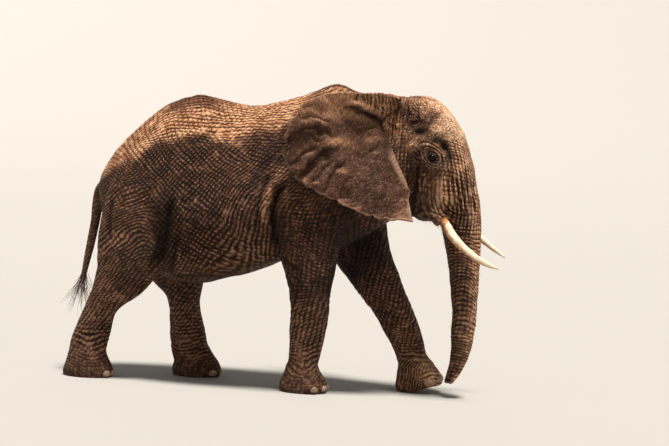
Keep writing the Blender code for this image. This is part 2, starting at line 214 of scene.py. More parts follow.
sun("key", 6.6, 12, (-0.16, 0.16, -1.0), (1.0, 0.94, 0.86))
sun("front", 1.7, 9, (-0.85, 0.35, -0.35), (1.0, 0.97, 0.93))
bpy.context.scene.view_settings.view_transform = "Standard"

# %% [markdown]
# ## One skin from many parts
# The frame's flesh parts are one form cut apart by thin gaps. To hide every
# seam, copies of them are fused again on a fine grid, and the facets of the
# plain solids are evened out. The eyes are fused in too, which fills their
# sockets, so that the lids can be modelled on whole skin.

# %% Fuse copies of the flesh parts
FLESH = ["torso", "neck", "head", "trunk_upper", "trunk_middle", "trunk_tip"]
FLESH += [part + side for part in ("foreleg_", "forefoot_", "hindleg_", "hindfoot_")
          for side in ("right", "left")]
FUSE_GRID = 0.0135


def mesh_arrays(mesh):
    """A mesh's points and triangles as arrays."""
    points = np.empty(len(mesh.vertices) * 3)
    mesh.vertices.foreach_get("co", points)
    mesh.calc_loop_triangles()
    triangles = np.empty(len(mesh.loop_triangles) * 3, dtype=np.int64)
    mesh.loop_triangles.foreach_get("vertices", triangles)
    return points.reshape(-1, 3), triangles.reshape(-1, 3)


def joined(parts):
    """Several (points, faces) pairs as one pair."""
    counts = np.cumsum([0] + [len(points) for points, _ in parts[:-1]])
    return (np.vstack([points for points, _ in parts]),
            np.vstack([faces + start for (_, faces), start in zip(parts, counts)]))


def with_modifier(piece, kind, **settings):
    """Put one modifier into a piece's mesh, then return the new mesh."""
    modifier = piece.modifiers.new(kind.lower(), kind)
    for name, value in settings.items():
        setattr(modifier, name, value)
    graph = bpy.context.evaluated_depsgraph_get()
    mesh = bpy.data.meshes.new_from_object(piece.evaluated_get(graph))
    piece.modifiers.clear()
    piece.data = mesh
    return mesh


copies = [mesh_arrays(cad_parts[node].data) for node in FLESH + ["eye_right", "eye_left"]]
skin_work = mesh_object("skin_work", *joined(copies))
with_modifier(skin_work, "REMESH", mode="VOXEL", voxel_size=FUSE_GRID)
print("fused flesh:", len(skin_work.data.vertices), "points")


# %% Even out the facets
PULL, PUSH = 0.6, -0.62      # share of the way to the neighbours' mean, and back


def edge_pairs(mesh):
    """A mesh's edges as an array of point pairs."""
    pairs = np.empty(len(mesh.edges) * 2, dtype=np.int64)
    mesh.edges.foreach_get("vertices", pairs)
    return pairs.reshape(-1, 2)


def evened(points, pairs, rounds):
    """Smooth without shrinking: step towards the neighbours' mean, then a
    little further away from it, again and again."""
    size = len(points)
    count = np.bincount(pairs.ravel(), minlength=size)[:, None]
    first, second = pairs.T
    for step in [PULL, PUSH] * rounds:
        total = np.stack([np.bincount(first, points[second, k], size)
                          + np.bincount(second, points[first, k], size) for k in range(3)], axis=1)
        points = points + step * (total / count - points)
    return points


points, _ = mesh_arrays(skin_work.data)
points = evened(points, edge_pairs(skin_work.data), rounds=45)
skin_work.data.vertices.foreach_set("co", points.ravel())
print("skin evened")

# %% [markdown]
# ## Sculpting with formulas
# A sculptor raises mounds, presses hollows and draws folds with a loop tool.
# Each of those is a formula here: how far a point of the skin moves along its
# own normal, as a function of its distance from a middle or from a line. All
# points are worked out at once as arrays.

# %% Small formulas used by every step
def ramp(low, high, value):
    """0 below low, 1 above high, and a soft S-curve between."""
    t = np.clip((value - low) / (high - low), 0.0, 1.0)
    return t * t * (3.0 - 2.0 * t)


def normals_of(points, triangles):
    """Unit normal at each point: the sum of the cross products of its triangles."""
    a, b, c = points[triangles].transpose(1, 0, 2)
    cross = np.cross(b - a, c - a)
    total = np.stack([sum(np.bincount(triangles[:, corner], cross[:, k], len(points))
                          for corner in range(3)) for k in range(3)], axis=1)
    return total / np.maximum(np.linalg.norm(total, axis=1, keepdims=True), 1e-12)


def murmur(places, size, seed, count=20):
    """Seeded smooth noise, about -1 to 1: a sum of sine waves, `size` metres
    long, in random directions."""
    rng = np.random.default_rng(seed)
    way = rng.normal(size=(count, 3))
    length = np.linalg.norm(way, axis=1, keepdims=True)
    way *= (2 * np.pi / size) * rng.uniform(0.6, 1.4, (count, 1)) / length
    waves = np.sin(places @ way.T + rng.uniform(0, 2 * np.pi, count))
    return waves.sum(axis=1) / math.sqrt(count * 0.9)


def curve_through(corners, steps=8):
    """Catmull-Rom curve through a few corners, with `steps` stretches between each two."""
    corners = np.asarray(corners, dtype=float)
    padded = np.vstack([2 * corners[0] - corners[1], corners, 2 * corners[-1] - corners[-2]])
    a, b, c, d = padded[:-3, None], padded[1:-2, None], padded[2:-1, None], padded[3:, None]
    u = (np.arange(steps) / steps)[None, :, None]
    body = 0.5 * (2 * b + (c - a) * u + (2 * a - 5 * b + 4 * c - d) * u ** 2
                  + (3 * b - a - 3 * c + d) * u ** 3)
    return np.vstack([body.reshape(-1, corners.shape[1]), corners[-1:]])


def from_line(flat, line):
    """For 2-D points: signed distance from a line (plus on its left, walking
    along it) and the share of its length at the nearest place."""
    line = curve_through(line)
    start, step = line[:-1], np.diff(line, axis=0)
    length = np.linalg.norm(step, axis=1)
    run = np.append(0, np.cumsum(length))
    best = np.full(len(flat), 1e9)
    signed, along = best.copy(), np.zeros(len(flat))
    for origin, way, size, before in zip(start, step, length, run):
        offset = flat - origin
        t = np.clip(offset @ way / size ** 2, 0, 1)
        gap = offset - t[:, None] * way
        distance = np.hypot(*gap.T)
        closer = distance < best
        best = np.where(closer, distance, best)
        left = np.where(way[0] * offset[:, 1] - way[1] * offset[:, 0] >= 0, 1.0, -1.0)
        signed = np.where(closer, distance * left, signed)
        along = np.where(closer, (before + t * size) / run[-1], along)
    return signed, along


# %% A piece of clay: points, normals, and the shifts asked of them
FOLD_LIP = 0.35      # height of the lips beside a fold, as a share of its depth


class Clay:
    """Skin being sculpted. `shift` is each point's move along its normal, in
    metres, and `fold` says how deep in a crease it lies, from 0 to 1; the hide
    paints shade into the folds by it."""

    def __init__(self, points, triangles):
        self.points = points
        self.triangles = triangles
        self.renew()

    def renew(self):
        """Read the normals again and clear the shifts."""
        self.normals = normals_of(self.points, self.triangles)
        self.outward = self.normals[:, 1] * np.sign(self.points[:, 1])
        self.shift, self.fold = np.zeros((2, len(self.points)))

    def apply(self):
        """Move the points."""
        self.points = self.points + self.normals * self.shift[:, None]
        self.renew()

    def mound(self, middle, radii, height):
        """Raise a soft lump on both sides: height * exp(-distance squared)."""
        x, y, z = self.points.T
        gap = np.column_stack([x - middle[0], np.abs(y) - abs(middle[1]), z - middle[2]]) / radii
        self.shift += height * np.exp(-(gap ** 2).sum(axis=1))

    def side_mound(self, middle, radii, height):
        """Raise or press in both sides at a place given as (x, z)."""
        distance = (((self.points[:, [0, 2]] - middle) / radii) ** 2).sum(axis=1)
        self.shift += height * np.exp(-distance) * ramp(0.1, 0.5, self.outward)

    def deepen(self, fold):
        """Mark points as lying in a fold, where they are not deeper already."""
        self.fold = np.maximum(self.fold, fold)

    def crease(self, line, width, depth, side=0, ends=0.18):
        """Draw a fold on the side of the body along a line of (x, z) places: a
        groove exp(-(d/width)^2) deep, with a raised lip on each side of it,
        fading towards both ends. It goes on both sides unless `side` is -1
        (right) or 1 (left)."""
        line = np.asarray(line)
        margin = 4 * width
        flat = self.points[:, [0, 2]]
        near = ((flat > line.min(axis=0) - margin) & (flat < line.max(axis=0) + margin)).all(axis=1)
        near &= self.outward > 0.05
        if side:
            near &= self.points[:, 1] * side > 0
        where = np.flatnonzero(near)
        distance, along = from_line(flat[where], line)
        distance = np.abs(distance) / width
        fade = ramp(0, ends, along) * ramp(0, ends, 1 - along)
        fade = fade * ramp(0.05, 0.35, self.outward[where])
        groove = np.exp(-distance ** 2)
        raised = np.exp(-(distance - 1.9) ** 2)
        self.shift[where] += fade * depth * (FOLD_LIP * raised - groove)
        if depth > 0:
            self.fold[where] = np.maximum(self.fold[where], fade * groove)


# %% [markdown]
# ## The large forms
# Under the skin of a lean bull the hip bones, the spine, the shoulder blade
# and the brow stand out, and the flank, the temple and the place before the
# eye sink in. They are broad and soft, so they are pressed into the clay as
# mounds before any fold is drawn.

# %% Hips, spine, flanks, brow and temples
clay = Clay(points, mesh_arrays(skin_work.data)[1])

SIDE_FORMS = {
    # (along, up), (half length, half height) of a form on its part, height in metres
    "torso": [
        ((0.275, 0.775), (0.16, 0.1), 0.016),     # point of the hip
        ((0.4, 0.7), (0.2, 0.12), -0.016),     # hollow before the hip
        ((0.17, 0.42), (0.2, 0.26), 0.016),     # thigh
        ((0.3, 0.33), (0.08, 0.25), -0.014),     # between thigh and belly
        ((0.48, 0.36), (0.4, 0.28), 0.014),     # belly
        ((0.615, 0.52), (0.09, 0.34), -0.018),     # behind the shoulder
        ((0.75, 0.55), (0.13, 0.3), 0.014),     # shoulder
    ],
    "head": [
        ((0.315, 0.742), (0.085, 0.055), -0.044),     # temple
        ((0.575, 0.63), (0.05, 0.06), -0.034),     # before the eye
        ((0.46, 0.855), (0.045, 0.05), -0.01),
        ((0.455, 0.628), (0.075, 0.028), 0.01),     # over the lids
        ((0.485, 0.745), (0.08, 0.042), 0.024),     # brow
        ((0.446, 0.847), (0.06, 0.038), -0.014),     # dent on the crown
        ((0.625, 0.3), (0.07, 0.095), 0.016),     # cheek
        ((0.24, 0.622), (0.042, 0.034), 0.018),     # gland behind the eye
        ((0.62, 0.335), (0.1, 0.13), 0.014),     # cheek
        ((0.345, 0.36), (0.055, 0.17), -0.014),     # behind the cheek
    ],
}
for node, forms in SIDE_FORMS.items():
    for place, radii, height in forms:
        clay.side_mound(side_line(node, [place])[0], radii, height)

# The sheath under the belly, a soft bag drawn out along the middle.
clay.mound(spot("torso", 0.335, 0.5, 0.06), (0.24, 0.1, 0.12), 0.045)

# The spine: a low ridge along the back, spread as a bell curve across it.
SPINE_HEIGHT, SPINE_WIDTH = 0.018, 0.07
x, y, z = clay.points.T
on_top = ramp(0.5, 0.9, clay.normals[:, 2])
rear_end, front_end = side_line("torso", [(0.08, 0), (0.86, 0)])[:, 0]
spine_run = ramp(rear_end, rear_end + 0.4, x)
spine_run = spine_run * (1 - ramp(front_end, front_end + 0.3, x))
clay.shift += SPINE_HEIGHT * on_top * spine_run * np.exp(-(y / SPINE_WIDTH) ** 2)
# Slack muscle and fat under the hide: slow, shallow noise.
slack = 0.0045 * murmur(clay.points, 0.42, seed=3) + 0.0018 * murmur(clay.points, 0.14, seed=4)
clay.shift += slack
clay.apply()
skin_work.data.vertices.foreach_set("co", clay.points.ravel())
print("large forms pressed in")

# %% [markdown]
# ## More clay where the detail is
# The grid is fine enough for the barrel, but not for rings on the trunk or
# for eyelids. The faces there are divided again, twice round the eyes.

# %% Divide the face and trunk
TRUNK_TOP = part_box("trunk_upper")[1][2]
FACE_REAR = side_line("head", [(0.16, 0)])[0, 0]
EYE_SPREAD = 0.15     # how far round the eye the skin is divided again


def divide(mesh, chosen):
    """Cut every edge whose both ends are chosen in two."""
    bm = bmesh.new()
    bm.from_mesh(mesh)
    bm.verts.ensure_lookup_table()
    edges = [edge for edge in bm.edges if all(chosen[end.index] for end in edge.verts)]
    bmesh.ops.subdivide_edges(bm, edges=edges, cuts=1, use_grid_fill=True)
    bm.to_mesh(mesh)
    bm.free()


def eye_distance(places):
    """Distance from the nearer eye."""
    return np.minimum(*(np.linalg.norm(places - EYE[side], axis=1) for side in EYE))


x, y, z = clay.points.T
trunk_rear, tip_rear = (side_line(node, [(-0.1, 0)])[0, 0] for node in ("trunk_upper", "trunk_tip"))
in_trunk = (z < TRUNK_TOP + 0.45) & (x > trunk_rear) & (z > 0.45)
in_trunk |= (x > tip_rear) & (z > 0.1) & (np.abs(y) < 0.16)
in_face = (z > TRUNK_TOP) & (x > FACE_REAR) & (z < EYE["left"][2] + 0.16)
divide(skin_work.data, in_trunk | in_face)
points, _ = mesh_arrays(skin_work.data)
divide(skin_work.data, eye_distance(points) < EYE_SPREAD)
points, triangles = mesh_arrays(skin_work.data)
clay = Clay(evened(points, edge_pairs(skin_work.data), rounds=6), triangles)
print("divided skin:", len(points), "points")

# %% [markdown]
# ## Folds drawn one by one
# The hide hangs in folds where it must stretch at each step: behind the
# foreleg, before the thigh, round the eye, along the cheek and above the
# tusk. Each is one line drawn on the side of the part it belongs to.

# %% Folds of the body
BODY_FOLDS = [
    # (along, up) places on the torso, width, depth (less than 0 for a roll),
    # side (-1 right, 1 left, 0 both)
    ([(0.652, 0.575), (0.628, 0.525), (0.613, 0.47), (0.605, 0.407), (0.604, 0.345), (0.615, 0.29)],
     0.04, -0.056, -1),
    ([(0.69, 0.56), (0.65, 0.5), (0.634, 0.44), (0.63, 0.378), (0.638, 0.302), (0.65, 0.215)],
     0.026, 0.042, -1),
    ([(0.625, 0.59), (0.602, 0.522), (0.588, 0.46), (0.583, 0.39), (0.586, 0.31)],
     0.022, 0.014, -1),
    ([(0.71, 0.79), (0.668, 0.69), (0.628, 0.6)], 0.024, 0.012, 0),
    ([(0.675, 0.78), (0.64, 0.7), (0.604, 0.625), (0.58, 0.54), (0.567, 0.46)], 0.024, 0.01, 0),
    ([(0.64, 0.75), (0.605, 0.67), (0.572, 0.58), (0.55, 0.48)], 0.026, 0.007, 0),
    ([(0.74, 0.56), (0.73, 0.48), (0.732, 0.39), (0.744, 0.29), (0.756, 0.21)], 0.026, 0.034, 1),
    ([(0.712, 0.57), (0.7, 0.48), (0.702, 0.38), (0.714, 0.29)], 0.04, -0.026, 1),
    ([(0.3, 0.44), (0.287, 0.379), (0.281, 0.317), (0.272, 0.25), (0.259, 0.174), (0.243, 0.09)],
     0.034, 0.034, -1),
    ([(0.262, 0.3), (0.252, 0.23), (0.238, 0.16), (0.222, 0.1)], 0.022, 0.01, -1),
    ([(0.322, 0.3), (0.312, 0.22), (0.296, 0.14), (0.28, 0.06)], 0.026, 0.012, -1),
    ([(0.372, 0.05), (0.36, 0.13), (0.344, 0.22), (0.33, 0.31)], 0.032, 0.03, 1),
    ([(0.395, 0.218), (0.45, 0.214), (0.48, 0.23)], 0.02, 0.01, -1),
    ([(0.27, 0.055), (0.335, 0.06), (0.4, 0.068), (0.47, 0.066)], 0.02, 0.016, 0),
    ([(0.665, 0.2), (0.69, 0.16), (0.73, 0.14)], 0.022, 0.012, -1),
    ([(0.105, 0.46), (0.085, 0.38), (0.08, 0.29), (0.092, 0.2)], 0.024, 0.01, 0),
]
for line, width, depth, side in BODY_FOLDS:
    clay.crease(side_line("torso", line), width, depth, side=side)
print(len(BODY_FOLDS), "folds on the body")

# %% Folds of the face
FACE_FOLDS = [
    # (along, up) places on the head, width, depth
    ([(0.334, 0.49), (0.316, 0.372), (0.339, 0.276), (0.39, 0.161)], 0.013, 0.014),
    ([(0.374, 0.433), (0.364, 0.336), (0.399, 0.22), (0.462, 0.135)], 0.011, 0.011),
    ([(0.41, 0.4), (0.398, 0.31), (0.428, 0.205), (0.49, 0.13)], 0.009, 0.007),
    ([(0.442, 0.377), (0.428, 0.289), (0.457, 0.193), (0.518, 0.127)], 0.01, 0.009),
    ([(0.478, 0.378), (0.466, 0.289), (0.49, 0.205), (0.545, 0.138)], 0.009, 0.006),
    ([(0.512, 0.38), (0.505, 0.292), (0.526, 0.216), (0.573, 0.15)], 0.01, 0.008),
    ([(0.325, 0.54), (0.312, 0.46), (0.302, 0.38), (0.296, 0.29), (0.3, 0.22)], 0.017, 0.018),
    ([(0.24, 0.52), (0.218, 0.4), (0.228, 0.3)], 0.012, 0.008),
    ([(0.205, 0.64), (0.195, 0.5), (0.2, 0.38), (0.225, 0.29)], 0.013, 0.01),
    ([(0.165, 0.7), (0.158, 0.56), (0.162, 0.43), (0.19, 0.33)], 0.014, 0.012),
    ([(0.13, 0.74), (0.12, 0.6), (0.128, 0.47), (0.15, 0.36)], 0.013, 0.01),
    ([(0.245, 0.6), (0.232, 0.52), (0.236, 0.45)], 0.01, 0.006),
    ([(0.153, 0.74), (0.256, 0.757), (0.351, 0.797)], 0.01, 0.012),
    ([(0.19, 0.8), (0.28, 0.8), (0.35, 0.832)], 0.01, 0.006),
    ([(0.262, 0.64), (0.3, 0.6), (0.352, 0.585)], 0.008, 0.007),
    ([(0.262, 0.59), (0.3, 0.565), (0.345, 0.556)], 0.008, 0.006),
    ([(0.27, 0.545), (0.31, 0.53), (0.35, 0.528)], 0.008, 0.005),
    ([(0.385, 0.141), (0.464, 0.111), (0.548, 0.114)], 0.011, 0.012),
    ([(0.43, 0.185), (0.48, 0.16), (0.545, 0.148), (0.59, 0.128)], 0.009, 0.01),
    ([(0.563, 0.266), (0.583, 0.189), (0.66, 0.14), (0.745, 0.105)], 0.01, 0.011),
    ([(0.6, 0.29), (0.618, 0.215), (0.69, 0.165), (0.775, 0.135)], 0.01, 0.008),
    ([(0.545, 0.225), (0.56, 0.16), (0.63, 0.112), (0.71, 0.08)], 0.009, 0.01),
    ([(0.5, 0.695), (0.56, 0.655), (0.61, 0.6), (0.65, 0.53)], 0.022, 0.01),
    ([(0.545, 0.6), (0.575, 0.53), (0.57, 0.46)], 0.01, 0.008),
]
# The ear's upper fold runs out over the temple as a roll.
EAR_ROLL = [(-0.12, 0.855), (-0.054, 0.814), (0.0, 0.79), (0.053, 0.768), (0.11, 0.752)]
for line, width, depth in FACE_FOLDS:
    clay.crease(side_line("head", line), width, depth, ends=0.25)

# Upright folds between the face and the trunk, evenly set and a little wavy.
COLUMNS = 7
for column in range(COLUMNS):
    share = column / (COLUMNS - 1)
    top = 0.54 + 0.06 * math.sin(2.1 * column)
    line = [(0.585 + 0.3 * share, top), (0.63 + 0.29 * share, 0.39),
            (0.672 + 0.285 * share, 0.25), (0.715 + 0.27 * share, 0.1)]
    clay.crease(side_line("head", line), 0.01, 0.01, ends=0.35)
clay.crease(side_line("head", EAR_ROLL), 0.02, -0.022, ends=0.3)
print(len(FACE_FOLDS) + COLUMNS, "folds on each side of the face")

# %% [markdown]
# ## Rings
# The trunk shortens and bends, so its hide is ringed like a bellows, deepest
# in front. The wrists, ankles and knees have a few rings too. A ring is a
# narrow groove between round cushions: depth * (1 - |sin|^0.6) of a phase
# that grows along the limb, bent a little by noise so that no two are alike.

# %% Rings of the trunk
RING_SPACING, RING_DEPTH, DEEPER_IN_FRONT = 0.046, 0.0042, 0.0035     # metres


def ring_grooves(phase, roundness=0.6):
    """1 in the middle of each groove (whole phases), 0 on the cushions between."""
    return 1.0 - np.abs(np.sin(np.pi * phase)) ** roundness


x, y, z = clay.points.T
down = TRUNK_TOP - z
trunk_middles = np.array([0.5 * sum(box_corners(node))
                          for node in ("trunk_tip", "trunk_middle", "trunk_upper")])
trunk_axis = np.interp(z, trunk_middles[:, 2], trunk_middles[:, 0])
on_trunk = ramp(TRUNK_TOP + 0.42, TRUNK_TOP - 0.05, z) * (np.abs(y) < 0.25)
on_trunk = on_trunk * (x > trunk_axis - 0.25)
on_trunk = on_trunk * ramp(trunk_axis - 0.12, trunk_axis + 0.02, x + 2.0 * (down > 0))
in_front = ramp(-0.5, 0.8, clay.normals[:, 0])
ring_phase = down / RING_SPACING + 0.9 * down ** 2 + 0.28 * murmur(clay.points, 0.3, seed=7)
ring_depth = RING_DEPTH + DEEPER_IN_FRONT * in_front * ramp(0.9, 0.1, np.abs(down + 0.05))
ring_depth = ring_depth * (0.75 + 0.35 * murmur(clay.points, 0.22, seed=8))
ring_depth = ring_depth * ramp(0.1, 0.3, z)
ring = ring_grooves(ring_phase) * on_trunk
clay.shift -= ring_depth * ring
clay.deepen(0.75 * ring)
print("trunk ringed every", RING_SPACING, "m")

# %% Rings of the legs
LEG_RING_SPACING, LEG_RING_DEPTH = 0.062, 0.007      # metres
LEG_RINGS = [("foreleg_right", 0.0, 0.3), ("foreleg_right", 0.45, 0.95),
             ("foreleg_left", 0.02, 0.3), ("foreleg_left", 0.5, 0.95),
             ("hindleg_right", 0.0, 0.4), ("hindleg_left", 0.0, 0.4)]


def around_part(node, places, margin=0.03):
    """Which places lie in a part's box, made a little larger."""
    low, high = box_corners(node)
    return ((places > low - margin) & (places < high + margin)).all(axis=1)


def limb_rings(node, low, high, seed):
    """Rings on a leg between two shares of its height, square to its axis."""
    bottom, top = (corner[2] for corner in box_corners(node))
    share = (z - bottom) / (top - bottom)
    window = ramp(low - 0.06, low + 0.06, share)
    window = window * ramp(high + 0.08, high - 0.08, share) * around_part(node, clay.points)
    phase = z / LEG_RING_SPACING + 0.5 * murmur(clay.points, 0.35, seed) - 1.2 * x
    uneven = 0.6 + 0.4 * murmur(clay.points, 0.25, seed + 1)
    groove = ring_grooves(phase, 0.7) * window * uneven
    clay.shift -= LEG_RING_DEPTH * groove
    clay.deepen(0.6 * groove)


for index, (node, low, high) in enumerate(LEG_RINGS):
    limb_rings(node, low, high, seed=20 + 2 * index)
print(len(LEG_RINGS), "stretches of leg ringed")

# %% [markdown]
# ## Eyelids
# An elephant's eye is small and sits under a heavy brow. Round each eyeball
# the skin is laid over the ball like a lid, a few millimetres thick, with an
# almond-shaped opening, and the folds of the lids run round it in rings.

# %% The frame of an eye
OPENING = np.array((0.98, 0.88)) * EYE_SIZE      # half width and half height of the opening
LID_THICK = 0.007
TILT = math.radians(42)        # the inner corner sits lower
LOOK = (0.2, 1.0, 0.04)       # the way the left eye looks


def eye_frame(side):
    """Three unit vectors of an eye: forward along the lids, up, and straight out."""
    out = np.array(Vector((LOOK[0], HANDS[side] * LOOK[1], LOOK[2])).normalized())
    forward = np.cross(np.cross(out, (1, 0, 0)), out)
    forward /= np.linalg.norm(forward)
    up = np.cross(out, forward)
    up *= np.sign(up[2])
    slant = math.cos(TILT) * forward - math.sin(TILT) * up
    rise = math.sin(TILT) * forward + math.cos(TILT) * up
    return slant, rise, out


def cap(radius, reach):
    """Height of a ball of this radius at a distance `reach` from its axis."""
    return np.sqrt(np.clip(radius ** 2 - reach ** 2, 0, None))


def bell(value, middle, width):
    """A bell curve: exp(-((value - middle) / width)^2)."""
    return np.exp(-((value - middle) / width) ** 2)


# %% Lay the lids over the eyeballs
# Folds round the opening: place (1 is its rim), depth above and depth below it.
LID_RINGS = [(1.46, 0.7, 0.6), (2.2, 1.3, 0.8), (2.95, 1.0, 0.3), (3.7, 0.7, 0.0), (4.5, 0.4, 0.0)]
LID_FOLD_DEPTH = 0.0055
PUPIL_DEPTH = 0.012        # the skin goes this far behind the ball's front

eye_shade, lid_highlight = np.zeros((2, len(clay.points)))
folds = clay.fold.copy()
clay.apply()
for side in EYE:
    slant, rise, out = eye_frame(side)
    offset = clay.points - EYE[side]
    across, over, height = offset @ slant, offset @ rise, offset @ out
    reach = np.hypot(across, over)
    near = (np.linalg.norm(offset, axis=1) < 0.2) & (height > -0.05)
    # How far out from the opening a point lies: 1 on its rim.
    measure = np.hypot(across / OPENING[0], over / OPENING[1])
    lid = cap(EYE_SIZE + LID_THICK, reach)
    over_ball = ramp(EYE_SIZE * 1.7, EYE_SIZE * 1.0, reach)
    wanted = height + np.clip(lid - height, 0, None) * over_ball
    wanted = wanted + 0.007 * bell(measure, 1.55, 0.35)
    inside = ramp(1.08, 0.94, measure)
    wanted = wanted * (1 - inside) + (cap(EYE_SIZE, reach) - PUPIL_DEPTH) * inside
    # The ring folds widen and slip back towards the outer corner, so they are
    # not true circles.
    slip = np.clip(measure - 1.2, 0, 3.5)
    longer = 1 - np.exp(-slip)
    measure = np.hypot((across + 0.007 * slip) / (OPENING[0] * (1 + 0.3 * longer)),
                       (over - 0.003 * slip) / (OPENING[1] * (1 - 0.08 * longer)))
    wobble = 0.1 * np.sin(3 * np.arctan2(over, across) + 1.0)
    measure = measure + wobble * ramp(1.2, 2.5, measure)
    above = ramp(-0.4, 0.5, over / np.maximum(reach, 1e-6))
    for ring_place, upper, lower in LID_RINGS:
        strength = lower + (upper - lower) * above
        groove = bell(measure, ring_place, 0.13)
        cushion = bell(measure - ring_place, 0.3, 0.17)
        wanted = wanted + LID_FOLD_DEPTH * strength * (0.5 * cushion - groove) * near
        folds = np.maximum(folds, 0.7 * strength * groove * near)
    clay.points = clay.points + np.where(near, wanted - height, 0)[:, None] * out
    # Dark wet lids with painted shade round them and on the upper fold, and a painted highlight
    # along the edge where the lid turns over.
    dark_lid = ramp(1.72, 1.5, measure)
    dark_lid = np.maximum(dark_lid, 0.6 * above * ramp(2.35, 1.75, measure))
    around = 0.38 * np.exp(-(np.clip(measure - 1.0, 0, None) / 1.6) ** 2)
    eye_shade = np.maximum(eye_shade, near * np.maximum(dark_lid, around))
    in_front = 0.15 + 0.85 * ramp(-0.8, 0.3, across / np.maximum(reach, 1e-6))
    lid_highlight = np.maximum(lid_highlight, near * in_front * bell(measure, 1.82, 0.13))
clay.renew()
clay.fold = folds
print("lids laid, opening", np.round(2000 * OPENING, 1), "mm")

# %% [markdown]
# ## The tip of the trunk
# The trunk of an African elephant ends in two fingers, one in front and one
# behind, with the two nostrils between them. The fused skin ends blunt there,
# so the middle is pressed in along the trunk and the two ends are drawn out.

# %% Fingers and nostrils
TIP_WAY = np.array((-0.5, 0.0, -0.87))          # the way the last length points
TIP_FORE = np.array((0.87, 0.0, -0.5))          # towards its front finger
FINGER_LONG, NOSTRIL_DEEP = 0.016, 0.03         # metres

tip_corner = box_corners("trunk_tip")[0]
tip_low = np.array((tip_corner[0] + 0.045, 0.0, tip_corner[2]))
offset = clay.points - tip_low
x, y, z = clay.points.T
fore = offset @ TIP_FORE
at_tip = ramp(-0.085, -0.01, offset @ TIP_WAY) * (z < 0.4) * (np.abs(y) < 0.12)
at_tip = at_tip * (x > tip_corner[0] - 0.02) * ramp(0.2, 0.8, clay.normals @ TIP_WAY)
finger = (bell(fore, 0.045, 0.022) + 0.7 * bell(fore, -0.045, 0.022)) * bell(y, 0, 0.035)
nostril = bell(fore, 0, 0.02) * (bell(y, 0.022, 0.015) + bell(y, -0.022, 0.015))
drawn_out = at_tip * (FINGER_LONG * finger - NOSTRIL_DEEP * nostril)
clay.points = clay.points + drawn_out[:, None] * TIP_WAY
clay.deepen(np.clip(at_tip * nostril, 0, 1))
clay.points[:, 2] = np.maximum(clay.points[:, 2], 0.0)
print("trunk tip", np.round(tip_low, 3))

# %% [markdown]
# ## Fewer triangles
# Flat stretches of the barrel need far fewer faces than the folds. Collapsing
# the cheapest edges first keeps the relief and brings the skin under the size
# that a piece may have.

# %% Thin a surface where it is flat
BODY_TRIANGLES, EAR_TRIANGLES = 148000, 21000
# Share of the painted rim highlight that the lids get.
LID_HIGHLIGHT = 0.52      # how much of the rim's paleness the lids get


def thinned(points, faces, numbers, wanted):
    """Collapse a surface to about `wanted` triangles and carry its point
    numbers along. Returns points, faces and numbers as one dictionary."""
    piece = mesh_object("thinning", points, faces)
    store(piece.data, {name: np.clip(values, 0, 1) for name, values in numbers.items()})
    mesh = with_modifier(piece, "DECIMATE", ratio=wanted / len(mesh_arrays(piece.data)[1]))
    points, triangles = mesh_arrays(mesh)
    part = {"points": points, "faces": triangles}
    for name in numbers:
        read = np.empty(len(points), dtype=np.float32)
        mesh.attributes[name].data.foreach_get("value", read)
        part[name] = read.astype(float)
    bpy.data.objects.remove(piece)
    return part


body = thinned(clay.points, clay.triangles,
               {"fold": clay.fold, "eye_shade": eye_shade, "rim": LID_HIGHLIGHT * lid_highlight},
               BODY_TRIANGLES)
bpy.data.objects.remove(skin_work)
print("body skin:", len(clay.triangles), "triangles thinned to", len(body["faces"]))
# %% [markdown]
# ## Ears
# The ear is a thin fan of hide on gristle. It is one surface of two
# parameters: `reach` goes from the root line on the head to the free edge,
# `fall` from the top of the ear down to its hanging tip. Front and back are
# the same surface moved apart by the ear's thickness, which ends in a rounded
# rim. Pleats, the rolled front edge and the torn hem bend that surface.

# %% The ear's two border lines, as shares of its box
EAR_ROOT = [(0.83, 0.02, 0.93), (0.68, 0.11, 0.785), (0.75, 0.13, 0.61), (0.838, 0.13, 0.407),
            (0.922, 0.12, 0.215)]
EAR_EDGE = [
    (0.85, 0.08, 0.985), (0.668, 0.348, 0.996), (0.42, 0.66, 0.992), (0.187, 0.858, 0.927),
    (0.055, 0.963, 0.732), (0.003, 0.983, 0.529), (0.078, 0.921, 0.351), (0.21, 0.848, 0.237),
    (0.42, 0.723, 0.136), (0.637, 0.567, 0.042), (0.816, 0.41, 0.006), (0.998, 0.254, 0.008),
]
# Tears and nicks in the hem: place along the fall, half width, depth as a share of the reach.
EAR_NICKS = [
    (0.505, 0.01, 0.09), (0.59, 0.005, 0.05), (0.66, 0.007, 0.03), (0.735, 0.006, 0.04),
    (0.8, 0.005, 0.025), (0.858, 0.006, 0.055), (0.905, 0.007, 0.05), (0.945, 0.006, 0.035),
    (0.41, 0.006, 0.025), (0.35, 0.008, 0.015),
]
